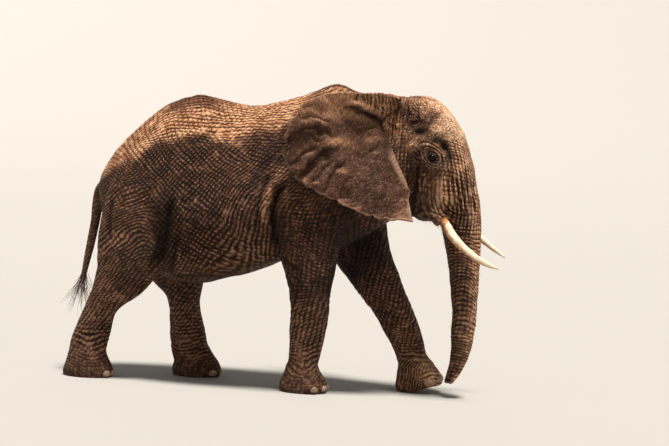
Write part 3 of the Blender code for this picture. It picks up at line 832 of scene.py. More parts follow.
# Pleats: (along, up) line on the ear, width, height. Each is a crest on its
# upper side and a valley on its lower side.
EAR_PLEATS = [
    ([(0.0, 0.52), (0.064, 0.655), (0.186, 0.715), (0.301, 0.705), (0.405, 0.64)], 0.042, 0.036),
    ([(0.127, 0.3), (0.173, 0.385), (0.255, 0.49), (0.339, 0.56), (0.453, 0.585)], 0.04, 0.038),
    ([(0.3, 0.2), (0.357, 0.333), (0.417, 0.442), (0.486, 0.498)], 0.038, 0.02),
    ([(0.1, 0.845), (0.15, 0.895), (0.24, 0.905), (0.35, 0.857)], 0.03, 0.02),
    ([(0.06, 0.6), (0.14, 0.64), (0.24, 0.64), (0.33, 0.61)], 0.026, 0.013),
    ([(0.06, 0.41), (0.13, 0.48), (0.21, 0.56), (0.28, 0.59)], 0.028, 0.015),
    ([(0.11, 0.78), (0.2, 0.81), (0.3, 0.78), (0.38, 0.74)], 0.026, 0.012),
    ([(0.215, 0.235), (0.27, 0.34), (0.33, 0.43), (0.38, 0.47)], 0.026, 0.012),
    ([(0.42, 0.14), (0.47, 0.28), (0.52, 0.4)], 0.04, 0.009),
    ([(0.56, 0.08), (0.59, 0.22), (0.62, 0.36)], 0.036, 0.008),
    ([(0.7, 0.03), (0.72, 0.18), (0.74, 0.33)], 0.04, 0.009),
    ([(0.795, 0.735), (0.72, 0.785), (0.625, 0.855), (0.54, 0.888), (0.46, 0.905), (0.38, 0.905)],
     0.034, 0.066),
    ([(0.52, 0.69), (0.602, 0.722), (0.7, 0.752)], 0.013, 0.012),
    ([(0.7, 0.64), (0.64, 0.56), (0.56, 0.52), (0.5, 0.56)], 0.04, 0.008),
]
print(len(EAR_PLEATS), "pleats and", len(EAR_NICKS), "nicks for each ear")

# %% The sheet of an ear
EAR_RIM, EAR_MIDDLE, EAR_BASE = 0.013, 0.02, 0.062      # thickness, in metres
REACH_ROWS, FALL_COLUMNS, TUCKED_ROWS = 76, 210, 7
ROOT_SUNK, EAR_CUPPED = 0.012, 0.045      # metres below the skin, and away from the body

fall = np.linspace(0, 1, FALL_COLUMNS)
# Rows crowd towards the rim. The first ones turn inwards and lie inside the head.
reach = np.append(np.linspace(-1, 0, TUCKED_ROWS, endpoint=False),
                  1 - (1 - np.linspace(0, 1, REACH_ROWS - TUCKED_ROWS)) ** 1.25)[:, None]
outside, tuck = np.clip(reach, 0, 1), np.clip(-reach, 0, 1)


def share_out(line, count):
    """A smooth curve through a few 3-D corners, read at `count` evenly spaced places."""
    dense = curve_through(line, 16)
    run = np.append(0, np.cumsum(np.linalg.norm(np.diff(dense, axis=0), axis=1)))
    even = np.linspace(0, run[-1], count)
    return np.column_stack([np.interp(even, run, dense[:, k]) for k in range(3)])


def skin_side(places, hand):
    """How far out the body's skin reaches beside each place: the largest |y|
    of the points within 3 cm, evened out along the line."""
    mine = body["points"][body["points"][:, 1] * hand > 0.1]
    apart = np.hypot(places[:, :1] - mine[:, 0], places[:, 2:] - mine[:, 2])
    reach = np.where(apart < 0.03, np.abs(mine[:, 1]), 0).max(axis=1)
    reach = np.where(reach > 0, reach, 0.9 * reach.max())
    return np.convolve(np.pad(reach, 6, mode="edge"), np.full(13, 1 / 13), mode="valid")


def ear_sheet(low, size, hand):
    """Places from root to edge: root + (edge - root) * reach, cupped like a sail."""
    root = low + share_out(EAR_ROOT, FALL_COLUMNS) * size
    edge = low + share_out(EAR_EDGE, FALL_COLUMNS) * size
    root[:, 1] = skin_side(root, hand) - ROOT_SUNK
    nick = sum(depth * bell(fall, place, width) for place, width, depth in EAR_NICKS)
    hem = 0.006 * np.sin(2 * np.pi * 23 * fall + 2 * np.sin(9 * fall)) * ramp(0.3, 0.6, fall)
    stretch = outside * (1 - (nick + hem) * outside ** 8)
    sheet = root + (edge - root) * stretch[..., None]
    sheet[..., 1] += EAR_CUPPED * np.sin(np.pi * outside) * np.sin(np.pi * fall) - 0.1 * tuck
    sheet[..., 0] += 0.02 * np.sin(np.pi * np.minimum(tuck, 0.5))
    return sheet


def square_to(sheet):
    """Unit vectors square to a sheet, on the side away from the body."""
    across = unit(np.cross(np.gradient(sheet, axis=0), np.gradient(sheet, axis=1)))
    return across * np.sign(across[..., 1].mean())


# %% Pleats and ripples
def pleats(share, length, crumple):
    """Height and fold depth of the pleats at (along, up) shares of the ear's
    box. A lapped pleat rises slowly from above, drops at once below its crest,
    and leaves a valley."""
    bend, fold = np.zeros((2, len(share)))
    for line, width, height in EAR_PLEATS:
        distance, along = from_line(share, line)
        distance = distance * length / width + 0.45 * crumple
        fade = ramp(0, 0.12, along) * ramp(0, 0.3, 1 - along)
        wave = distance * np.sign(line[-1][0] - line[0][0])
        slope = np.where(wave > 0.25, bell(wave, 0.25, 1.9), bell(wave, 0.25, 0.5))
        bend += height * fade * (slope - 0.75 * bell(wave, -1.05, 0.75))
        fold = np.maximum(fold, 0.8 * fade * bell(wave, -0.55, 0.5) * min(1, height / 0.03))
    return bend, fold


def ripples(sheet, seed):
    """Waves of the hem, which grow towards the edge, and slow lumps of the gristle."""
    flat = sheet.reshape(-1, 3)
    ripple = 0.01 * outside ** 3 * np.sin(2 * np.pi * (5.5 * fall + 0.25 * np.sin(7 * fall)))
    flutter = 0.004 * outside ** 6 * np.sin(2 * np.pi * 19 * fall)
    lumps = (0.007 * murmur(flat, 0.3, seed) + 0.0032 * murmur(flat, 0.1, seed + 1)
             + 0.0014 * murmur(flat, 0.05, seed + 3))
    return ripple, flutter, lumps.reshape(sheet.shape[:2])


def half_thickness():
    """Half of the ear's thickness: most at the root, a small roll at the rim,
    and nothing on every border, where it ends in a quarter circle."""
    thick = (EAR_RIM + (EAR_MIDDLE - EAR_RIM) * (1 - outside) ** 0.8
             + (EAR_BASE - EAR_MIDDLE) * (1 - outside) ** 9)
    rolled = 0.01 * bell(outside, 0.985, 0.02)
    roll_front = 0.022 * ramp(0.93, 0.985, fall) * ramp(0.25, 0.02, outside) ** 0.5
    half = (thick + rolled + roll_front) / 2
    row = np.linspace(0, 1, REACH_ROWS)[:, None]
    for value, span in ((outside, 0.012), (fall, 0.008), (1 - fall, 0.008), (1 - row, 0.02)):
        half = half * np.sqrt(1 - np.clip((value - 1 + span) / span, 0, 1) ** 2)
    return half


# %% Front and back joined
def shell(sheet, half, hand):
    """Points and faces of a sheet with a front and a back, sheet +- half, which
    share their border, and which grid points have a twin at the back."""
    across = square_to(sheet) * half[..., None]
    front, back = (sheet + across).reshape(-1, 3), (sheet - across).reshape(-1, 3)
    inner = np.zeros(sheet.shape[:2], bool)
    inner[1:-1, 1:-1] = True
    inner = inner.ravel()
    front[~inner] = sheet.reshape(-1, 3)[~inner]
    twin = np.arange(len(front))
    twin[inner] = len(front) + np.arange(inner.sum())
    points = np.vstack([front, back[inner]]) * (1, hand, 1)
    faces = grid_faces(*sheet.shape[:2])
    faces = np.vstack([faces, twin[faces][:, ::-1]])
    # Faces must point outwards: turn all of them if the front looks towards the body.
    a, b, _, d = points[faces[len(faces) // 4]]
    if np.cross(b - a, d - a)[1] * hand < 0:
        faces = faces[:, ::-1]
    return points, faces, inner


def ear_surface(side, seed):
    """One ear, thinned, with how deep in a fold and how pale on a rim each point is."""
    low, high = box_corners("ear_" + side)
    size, hand = high - low, HANDS[side]
    low[1] = min(abs(low[1]), abs(high[1]))
    sheet = ear_sheet(low, size, hand)
    share = ((sheet - low) / size)[..., [0, 2]].reshape(-1, 2)
    bend, fold = pleats(share, size[0], murmur(sheet.reshape(-1, 3), 0.13, seed + 2))
    ripple, flutter, lumps = ripples(sheet, seed)
    window = ramp(0.0, 0.12, outside)
    bend = (bend.reshape(lumps.shape) + ripple + flutter + lumps) * window
    sheet = sheet + square_to(sheet) * bend[..., None]
    points, faces, inner = shell(sheet, half_thickness(), hand)

    def on_shell(numbers):
        """Numbers of the grid, for the points of front and back."""
        numbers = np.broadcast_to(numbers, lumps.shape).ravel()
        return np.concatenate([numbers, numbers[inner]])

    # Painted highlights on the ear's rolled edges: along the free hem, at the front end and along
    # the lower front border by the head.
    rim_highlights = (ramp(0.965, 1.0, outside) * (0.3 + 0.5 * ramp(0.55, 0.85, fall)),
            ramp(0.97, 1.0, fall) * (outside > 0),
            ramp(0.52, 0.66, fall) * ramp(0.035, 0.015, outside))
    # Painted shade in the crease along the ear's root, stored as a fold.
    hinge = ramp(0.04, 0.012, outside) * ramp(0.8, 0.7, fall)
    fold = np.maximum(fold.reshape(lumps.shape) * window, 0.85 * hinge)
    numbers = {"fold": on_shell(fold), "ear": np.ones(len(points)),
               "rim": on_shell(np.maximum.reduce([on_all + 0 * lumps for on_all in rim_highlights]))}
    return thinned(points, faces, numbers, EAR_TRIANGLES)


ears = {side: ear_surface(side, seed=40 + 5 * number) for number, side in enumerate(HANDS)}
print("each ear:", len(ears["right"]["faces"]), "triangles")

# %% [markdown]
# ## Tail
# The tail is a tapering cord of hide. It is a profile carried along a path:
# an oval ring, set square to the path at each station.

# %% A tube along a path
def tube(path, half_wide, half_deep, bumps, around=24):
    """Rings square to a path, as one closed surface with pointed ends. A ring
    point is path + (cos(t) * half_deep * normal + sin(t) * half_wide *
    binormal) * (1 + bumps)."""
    along = unit(np.gradient(path, axis=0))
    normal = unit(np.cross(np.broadcast_to((0.0, 1.0, 0.0), path.shape), along))
    binormal = np.cross(along, normal)
    t = np.linspace(0, 2 * np.pi, around, endpoint=False)
    deep = (half_deep[:, None] * np.cos(t) * (1.0 + bumps))[..., None]
    wide = (half_wide[:, None] * np.sin(t) * (1.0 + bumps))[..., None]
    rings = path[:, None] + normal[:, None] * deep + binormal[:, None] * wide
    points = np.vstack([rings.reshape(-1, 3), path[:1], path[-1:]])
    number = np.arange(around)
    following = (number + 1) % around
    end = (len(path) - 1) * around
    first, last = np.full((2, around), ((len(points) - 2,), (len(points) - 1,)))
    return points, np.vstack([halved(grid_faces(len(path), around, closed=True))[:, ::-1],
                              np.column_stack([number, following, first]),
                              np.column_stack([end + following, end + number, last])])


def inside_out(points, triangles):
    """Whether a closed surface's faces point inwards: then the sum of
    a . (b x c) over its triangles is negative."""
    a, b, c = (points - points.mean(axis=0))[triangles].transpose(1, 0, 2)
    return (a * np.cross(b, c)).sum() < 0


def outwards(points, faces):
    """The faces of a closed surface, all turned to point outwards."""
    return faces[:, ::-1] if inside_out(points, faces) else faces


# %% The tail's surface
TAIL_LINE = [(1.35, 0.99), (0.92, 0.9), (0.74, 0.76), (0.66, 0.607), (0.55, 0.47), (0.442, 0.344),
             (0.33, 0.23), (0.239, 0.13), (0.15, 0.04), (0.1, -0.02)]
TAIL_HALF = [0.08, 0.07, 0.056, 0.046, 0.044, 0.041, 0.036, 0.03, 0.025, 0.02]
TAIL_RINGS, TAIL_RING_DEPTH = 46, 0.035      # count, and share of the radius

flat_path = curve_through(side_line("tail", TAIL_LINE), 14)
tail_path = np.column_stack([flat_path[:, 0], np.zeros(len(flat_path)), flat_path[:, 1]])
place = np.linspace(0, len(TAIL_HALF) - 1, len(tail_path))
tail_half = np.interp(place, np.arange(len(TAIL_HALF)), TAIL_HALF)
ring_turn = np.linspace(0, 2 * np.pi * TAIL_RINGS, len(tail_path))[:, None]
tail_points, tail_faces = tube(tail_path, tail_half * 0.92, tail_half,
                               TAIL_RING_DEPTH * np.sin(ring_turn))
tail_faces = outwards(tail_points, tail_faces)
print("tail", round(np.linalg.norm(np.diff(tail_path, axis=0), axis=1).sum(), 2), "m long")

# %% [markdown]
# ## The finished skin
# Body, ears and tail become one piece. With it go the numbers that its
# material reads: how deep in a fold each point lies, where it is on the
# animal, and the places of the wrinkle lines.

# %% Join body, ears and tail
tail = {"points": tail_points, "faces": tail_faces, "tail": np.ones(len(tail_points))}
parts = [body, ears["right"], ears["left"], tail]
skin_points, skin_faces = joined([(part["points"], part["faces"]) for part in parts])
values = {name: np.concatenate([part.get(name, np.zeros(len(part["points"]))) for part in parts])
          for name in ("fold", "eye_shade", "ear", "rim", "tail")}
skin_normals = normals_of(skin_points, skin_faces)
print("skin:", len(skin_faces), "triangles")

# %% [markdown]
# ## Lines of the hide
# The hide is cracked into cushions by lines that run in families: two slant
# across the flank and cross in lozenges, one runs level (rings on trunk and
# legs), one runs upright (the columns of the face, the strings of the legs).
# For each family every point stores a phase, which grows by one from line to
# line, and a strength, which says how deep that family is cut there.

# %% Helpers for places on the skin
x, y, z = skin_points.T
side = np.abs(y)
LEGS = ("foreleg_right", "foreleg_left", "hindleg_right", "hindleg_left")


def band(low, high, value, soft=0.12):
    """1 between two values and 0 outside, softened at both ends."""
    return ramp(low - soft, low + soft, value) * ramp(high + soft, high - soft, value)


def oval(place, radii):
    """1 in the middle of an oval seen from the side, fading as a bell curve."""
    return np.exp(-((x - place[0]) / radii[0]) ** 2 - ((z - place[1]) / radii[1]) ** 2)


def most(*layers):
    """The greatest of several layers, point by point."""
    return np.maximum.reduce(layers)


def round_leg(leg):
    """Distance of the skin from a leg's middle line, and the angle round it,
    0 in front and pi behind, the same on both sides. The line joins the
    middles of the solid model's points at several heights."""
    nodes = (leg, leg.replace("leg", "foot"))
    solid = np.vstack([mesh_arrays(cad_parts[node].data)[0] for node in nodes])
    heights = np.linspace(solid[:, 2].min() + 0.03, solid[:, 2].max() - 0.03, 12)
    middles = []
    for height in heights:
        near = solid[np.abs(solid[:, 2] - height) < 0.09]
        middles.append(0.5 * (near[:, :2].min(axis=0) + near[:, :2].max(axis=0)))
    middle_x, middle_y = np.array(middles).T
    ahead, beside = x - np.interp(z, heights, middle_x), y - np.interp(z, heights, middle_y)
    return np.hypot(ahead, beside), np.arctan2(np.abs(beside), ahead)


# %% Phases of the slanting and the level lines
SPACING, LEVEL_SPACING = 0.045, 0.036      # between two lines, metres
MIDDLE_HEIGHT, ROLL_RADIUS = 1.95, 0.72    # of the barrel

# Height as if the barrel's upper half were unrolled, so that lines keep their
# spacing over the back: height of the middle + radius * angle.
girth = np.arctan2(side, np.maximum(z - MIDDLE_HEIGHT, 0))
over_back = MIDDLE_HEIGHT + ROLL_RADIUS * (np.pi / 2 - girth)
unrolled = np.where(z > MIDDLE_HEIGHT, over_back, z)
on_head = ramp(0.85, 1.15, x)
upright = unrolled * (1 - on_head) + (z - 0.5 * side + 0.15) * on_head

# Falling lines are circles round a place high over the shoulder.
falling = np.hypot(x - 0.2, upright - 3.3) / SPACING
# Rising lines lean forward, and stand upright behind the foreleg.
steep = ramp(-0.75, -0.25, x) * ramp(2.2, 1.7, z)
rising = 0.97 * (x - (0.7 - 0.5 * steep) * (upright - 1.7)) / SPACING
# On the lifted foot they stand closer, as fine creases that run to the toes.
toes = ramp(0.36, 0.26, z) * ramp(0.85, 1.0, x)
rising = rising + 12 * toes * (x - 1.15)
# Level lines lean on the thigh and about the elbow.
on_thigh = ramp(-1.0, -1.4, x) * band(0.75, 2.1, z, 0.2)
under_elbow, over_elbow = (band(0.0, 0.75, x, 0.1) * band(low, high, z, 0.12)
                           for low, high in ((0.45, 1.05), (1.1, 1.75)))
flow = (0.04 - 0.026 * ramp(2.1, 2.45, unrolled)) * murmur(skin_points, 0.55, seed=75)
elbow_lean = 0.5 * under_elbow - 0.4 * over_elbow
level = (upright + flow - 0.6 * on_thigh * (x + 1.5) - elbow_lean * (x - 0.3)) / LEVEL_SPACING
print("level lines every", LEVEL_SPACING, "m, slanting ones every", SPACING, "m")

# %% Phases of the upright lines
TRUNK_HEIGHTS = (0.0, 0.5, 1.0, 1.5, 1.75, 2.0, 2.3, 2.6, 3.0)
TRUNK_RADII = (0.06, 0.09, 0.12, 0.15, 0.19, 0.28, 0.36, 0.4, 0.4)
LEG_STRINGS = 28       # lines round a leg

# Upright lines on the face and trunk are counted by the way round from the
# front: radius * angle, where the radius grows from trunk to forehead.
on_middle = (side < 0.08) & (x > 1.2) & (values["ear"] < 0.5)
heights = np.linspace(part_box("trunk_tip")[0][2] + 0.04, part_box("head")[1][2] - 0.02, 60)
front_line = np.array([x[on_middle & (np.abs(z - height) < 0.05)].max() for height in heights])
around_radius = np.interp(z, TRUNK_HEIGHTS, TRUNK_RADII)
trunk_ahead = x - np.interp(z, heights, front_line) + around_radius
face_lines = around_radius * np.arctan2(side, trunk_ahead) / 0.04
# Behind the face, towards the ear root, they simply follow the length of the head.
behind_face = ramp(1.32, 1.16, x)
at_border = face_lines[(x > 1.15) & (x < 1.25) & (side > 0.2)].mean()
face_lines = face_lines * (1 - behind_face) + (at_border + (1.2 - x) / 0.034) * behind_face
leg_reach, leg_angle = zip(*(round_leg(leg) for leg in LEGS))
nearest = np.argmin([*leg_reach, np.hypot(trunk_ahead, side) - 0.15], axis=0)
by_trunk = nearest == len(LEGS)
strings = [LEG_STRINGS * angle / (2 * np.pi) for angle in leg_angle]
standing = np.choose(nearest, [*strings, face_lines])
print(int(by_trunk.sum()), "points belong to the face and trunk")

# %% Where the ear is hide like the head's
EAR_ARC = ((0.35, 0.473, 0.55, 0.635, 0.73, 0.808), (0.965, 0.925, 0.905, 0.87, 0.8, 0.745))

ear_low, ear_high = box_corners("ear_right")
ear_along, _, ear_up = ((skin_points - ear_low) / (ear_high - ear_low)).T
over_fold = ramp(0.0, 0.05, ear_up - np.interp(ear_along, *EAR_ARC))
over_fold = over_fold * ramp(0.36, 0.62, ear_along)
on_ear, tail_mask = values["ear"], values["tail"]
ear = on_ear * (1 - 0.9 * over_fold)
on_trunk = (1 - ear) * (1 - tail_mask) * ramp(1.8, 1.55, z) * (x > 1.45)
on_trunk = on_trunk * by_trunk * (side < 0.3)

# %% Strengths of the four families, region by region
REGIONS = {
    # where, then strengths of falling, rising, level and standing lines
    "flank": (np.ones(len(x)), (1.0, 1.0, 0.12, 0.0)),
    "back": (ramp(2.35, 2.6, unrolled), (0.4, 0.45, 0.9, 0.0)),
    "behind the foreleg": (band(-0.55, 0.05, x) * band(1.3, 2.2, z), (0.35, 1.0, 0.1, 0.0)),
    "shoulder": (band(0.0, 0.75, x, 0.15) * ramp(1.3, 1.6, z) * ramp(2.7, 2.4, z),
                 (0.5, 0.8, 0.5, 0.0)),
    "neck": (ramp(0.5, 0.8, x), (0.3, 0.9, 0.4, 0.0)),
    "rump": (ramp(-1.25, -1.55, x) * ramp(1.6, 1.9, z), (0.7, 0.6, 0.55, 0.0)),
    "thigh": (on_thigh * ramp(2.1, 1.75, z), (0.25, 0.15, 1.0, 0.0)),
    "legs": (ramp(1.35, 1.15, z), (0.12, 0.58, 0.42, 0.05)),
    "upper foreleg": (ramp(0.0, 0.1, x) * ramp(0.75, 0.65, x)
                      * band(0.95, 1.55, z, 0.1), (0.25, 0.45, 0.6, 0.35)),
    "lower legs": (ramp(0.55, 0.4, z), (0.1, 0.28, 0.66, 0.05)),
    "feet": (ramp(0.2, 0.12, z), (0.1, 0.1, 0.25, 0.25)),
    "lifted foot": (toes, (0.1, 0.9, 0.12, 0.0)),
    "head": (ramp(0.95, 1.15, x) * ramp(1.3, 1.6, z), (0.3, 0.3, 0.35, 0.35)),
    "crown": (ramp(1.1, 1.25, x) * ramp(2.4, 2.6, z), (0.1, 0.1, 0.1, 0.0)),
    "cheek": (band(1.35, 1.66, x, 0.08) * band(1.75, 2.15, z, 0.1), (0.05, 0.05, 0.08, 0.2)),
    "face": (ramp(1.52, 1.66, x) * ramp(1.3, 1.6, z) * ramp(2.62, 2.4, z),
             (0.0, 0.0, 0.65, 0.95)),
    "trunk": (on_trunk, (0.0, 0.0, 0.85, 0.35)),
    "tail": (tail_mask, (0.05, 0.05, 0.35, 0.0)),
    "ears": (ear, (0.12, 0.14, 0.08, 0.0)),
    "ear root": (over_fold * (x < 1.3) * (z > 2.6), (0.1, 0.1, 0.25, 0.85)),
    "temple": (band(1.02, 1.17, x, 0.04) * ramp(2.45, 2.62, z), (0.1, 0.1, 0.35, 0.75)),
}
strengths = np.zeros((len(x), 4))
for mask, wanted in REGIONS.values():
    strengths = strengths * (1 - mask[:, None]) + mask[:, None] * np.array(wanted)
strengths *= (1 - 0.7 * values["eye_shade"])[:, None]
print("line strengths, mean of each family:", np.round(strengths.mean(axis=0), 2))

# %% [markdown]
# ## Tone
# Mud, sweat and painted shade darken the hollows, undersides and far legs;
# dust, rubbing and painted highlights pale what stands out. Each tone is a
# number from 0 to 1 at every point, made of soft ovals and bands at places on
# the animal.

# %% Stains and painted shade
# Dark patches: wet or stained hide on the temple, before the eye and on the crown, deepened there
# by painted shade in the hollows; painted shade round, behind and under the eye, under the jaw,
# behind the cheek, in the mouth of the gland, in the folds before the thigh and behind the foreleg,
# under the ear, under the belly and on the legs.
STAINS_AND_SHADE = {
    # (along, up), (half length, half height) as shares of the part, strength
    "head": [
        ((0.325, 0.735), (0.085, 0.046), 0.98),     # temple
        ((0.49, 0.678), (0.056, 0.028), 0.95),     # before the eye, slanting down
        ((0.575, 0.64), (0.06, 0.036), 0.98),
        ((0.64, 0.575), (0.042, 0.06), 0.92),
        ((0.43, 0.832), (0.05, 0.042), 0.88),     # on the crown
        ((0.47, 0.545), (0.12, 0.09), 0.4),     # round the eye
        ((0.29, 0.48), (0.07, 0.2), 0.55),     # behind the eye
        ((0.2, 0.18), (0.16, 0.16), 0.7),     # under the jaw
        ((0.555, 0.47), (0.035, 0.13), 0.4),     # under the eye
        ((0.285, 0.25), (0.045, 0.17), 0.92),     # behind the cheek
        ((0.3, 0.4), (0.04, 0.15), 0.7),
        ((0.256, 0.624), (0.022, 0.015), 1.0),     # mouth of the gland
    ],
    "torso": [
        ((0.27, 0.3), (0.035, 0.17), 0.8),     # before the thigh
        ((0.23, 0.14), (0.08, 0.16), 0.5),
        ((0.655, 0.33), (0.03, 0.2), 0.75),     # behind the foreleg
        ((0.86, 0.33), (0.09, 0.2), 0.7),     # under the ear
        ((0.6, 0.05), (0.4, 0.09), 0.5),     # belly
    ],
    "foreleg_right": [
        ((0.75, 0.52), (0.3, 0.18), 0.25),
    ],
    "foreleg_left": [
        ((0.28, 1.08), (0.25, 0.34), 0.92),
        ((0.14, 0.86), (0.15, 0.24), 0.92),
        ((0.45, 0.5), (0.18, 0.2), 0.45),
    ],
    "hindleg_left": [
        ((0.4, 0.95), (0.5, 0.22), 0.45),
    ],
    "hindleg_right": [
        ((0.8, 0.8), (0.25, 0.25), 0.45),
    ],
}
EAR_SHADES = [
    # along, up, slope, half length, half height, strength of painted shade:
    # under the upper fold, below the first pleat, and under the boss
    (0.63, 0.825, -0.53, 0.13, 0.04, 0.85), (0.23, 0.655, 0.1, 0.11, 0.03, 0.6),
    (0.31, 0.52, 0.25, 0.11, 0.03, 0.65), (0.52, 0.87, -0.3, 0.09, 0.03, 0.6),
]
# Mud and painted shade on the feet, and a darker tail.
stain = most(0.48 * ramp(0.26, 0.12, z) * (x < 1.0), 0.45 * tail_mask)     # feet, tail
for node, ovals in STAINS_AND_SHADE.items():
    low, high = (corner[[0, 2]] for corner in box_corners(node))
    share = (np.column_stack([x, z]) - low) / (high - low)
    # Painted shade on the far legs goes only on their inner side, which faces right.
    shown = ramp(0.35, -0.15, skin_normals[:, 1]) if node.endswith("_left") else 1
    for place, radii, strength in ovals:
        away = (((share - place) / radii) ** 2).sum(axis=1)
        stain = most(stain, strength * shown * np.exp(-away ** 1.5))
ear_painted_shade = np.zeros(len(x))
for along, up, slope, long, high, strength in EAR_SHADES:
    ahead = ear_along - along
    away = (ahead / long) ** 2 + ((ear_up - up - slope * ahead) / high) ** 2
    ear_painted_shade = most(ear_painted_shade, strength * np.exp(-away))
stain = stain * (1 - on_ear) + ear_painted_shade * on_ear
print("stained points:", int((stain > 0.2).sum()))

# %% Dust and painted highlight
# Edge down to which dust and painted highlight lie on the back, as (along, up) shares of the torso.
DUST_AND_HIGHLIGHT_EDGE = [(0.0, 0.5), (0.16, 0.615), (0.2, 0.675), (0.256, 0.703), (0.33, 0.716), (0.4, 0.726),
             (0.47, 0.697), (0.53, 0.733), (0.6, 0.784), (0.66, 0.82), (0.85, 0.84), (1.0, 0.8)]
HEAD_SIZE = (0.94, 1.34)       # metres
# Painted highlights on the bulges of the cheek, the gland behind the eye and the brow.
HIGHLIGHT_SPOTS = [
    # (along, up) and half sizes as shares of the head, amount
    ((0.63, 0.3), (0.1, 0.13), 0.95),            # cheek
    ((0.245, 0.622), (0.055, 0.04), 1.0),        # behind the eye
    ((0.5, 0.745), (0.09, 0.045), 0.75),          # over the brow
]
# Painted highlights on the roll behind the foreleg and the shoulder before it: place and half sizes
# in metres, amount.
HIGHLIGHT_ROLLS = [((0.04, 2.13), (0.06, 0.09), 0.5), ((-0.06, 1.97), (0.04, 0.11), 0.55),
               ((-0.12, 1.8), (0.035, 0.13), 0.55), ((0.06, 1.93), (0.06, 0.2), 0.42)]

# Dust with painted highlight lies on the back down to a wavy edge, and thinly
# where the face, the trunk and the feet look up or forward, towards the lamps.
edge_height = np.interp(x, *side_line("torso", DUST_AND_HIGHLIGHT_EDGE).T)
edge_height = edge_height + 0.035 * murmur(skin_points, 0.22, seed=71)
facing_up = skin_normals[:, 2]
forward, upward = ramp(0.1, 0.8, skin_normals[:, 0]), ramp(0.1, 0.75, facing_up)
on_face = ramp(0.9, 1.15, x) * ramp(1.3, 1.8, z)
on_left_forefoot = ramp(0.45, 0.25, z) * ramp(0.9, 1.1, x)
on_back = ramp(-0.05, 0.07, z - edge_height) * ramp(-0.1, 0.35, facing_up)
dust = most(on_back * (x < 1.05),
            on_face * np.clip(0.6 * upward + 0.5 * forward, 0, 1),
            0.72 * ramp(1.45, 1.7, x) * forward,
            0.85 * np.clip(upward + forward, 0, 1) * on_left_forefoot)
for place, (long, high), amount in HIGHLIGHT_SPOTS:
    radii = (long * HEAD_SIZE[0], high * HEAD_SIZE[1])
    dust = most(dust, amount * oval(side_line("head", [place])[0], radii))
for place, radii, amount in HIGHLIGHT_ROLLS:
    dust = most(dust, amount * oval(place, radii) * ramp(0.2, 0.4, side))
# On the ears dust and painted highlight lie on the upward crests of the pleats, over the upper
# fold, on the boss and along the top near the head.
boss = np.exp(-((ear_along - 0.42) / 0.08) ** 2 - ((ear_up - 0.6) / 0.045) ** 2)
ear_dust_and_highlight = most(0.45 * ramp(0.3, 0.75, facing_up),
                0.6 * over_fold * ramp(-0.1, 0.4, facing_up + 0.3),
                0.7 * boss,
                0.62 * ramp(0.72, 0.88, ear_up) * band(0.12, 0.8, ear_along, 0.06))
dust = dust * (1 - on_ear) + ear_dust_and_highlight * on_ear
print("dusty points:", int((dust > 0.2).sum()))

# %% Red earth, pebbled hide, and cushion tops with rubbed wear and painted highlight
# Red earth lies on the highest places of hips and hump.
hips_and_hump = most(ramp(-0.45, -0.85, x), band(0.2, 0.72, x))
red_top = ramp(0.66, 0.86, facing_up) * hips_and_hump
# Pebbled hide, finely grained: crown, ear root, shoulder, legs and rump.
pebbly = most(ramp(1.08, 1.25, x) * ramp(2.38, 2.55, z) * (1 - on_ear),
              0.8 * over_fold,
              0.6 * band(-0.05, 0.7, x, 0.1) * band(0.95, 1.85, z, 0.15),
              0.4 * ramp(1.2, 1.0, z) * (x < 1.5),
              0.55 * ramp(-1.45, -1.6, x) * band(1.75, 2.25, z, 0.1))
# Cushion tops get painted highlight and rubbed wear, most on the face, the flank and the legs.
rubbed = most(0.34 * ramp(0.2, -0.2, x) * ramp(1.0, 1.3, z),
              0.95 * ramp(1.65, 1.35, z) * ramp(0.12, 0.35, z) * (x < 1.5),
              1.0 * ramp(1.45, 1.6, x) * ramp(1.5, 1.75, z),
              0.6 * on_trunk)
# A thin painted highlight runs along the crease on the upper side of the temple, bent down a
# little.
start, end = side_line("head", [(0.184, 0.75), (0.343, 0.787)])
way = end - start
along = np.clip(((x - start[0]) * way[0] + (z - start[1]) * way[1]) / (way ** 2).sum(), 0, 1)
away = np.hypot(x - start[0] - along * way[0],
                z - start[1] - along * way[1] + 0.012 * np.sin(np.pi * along))
temple_crease_highlight = bell(away, 0, 0.009) * (1 - on_ear)
print("pebbled points:", int((pebbly > 0.2).sum()), "rubbed:", int((rubbed > 0.2).sum()))

# %% [markdown]
# ## Hide
# The material turns phases into cracks. One node group draws one family: it
# bends the phase with noise, finds the distance to the nearest whole number,
# and gives a narrow dark groove and a rounded cushion between two grooves.

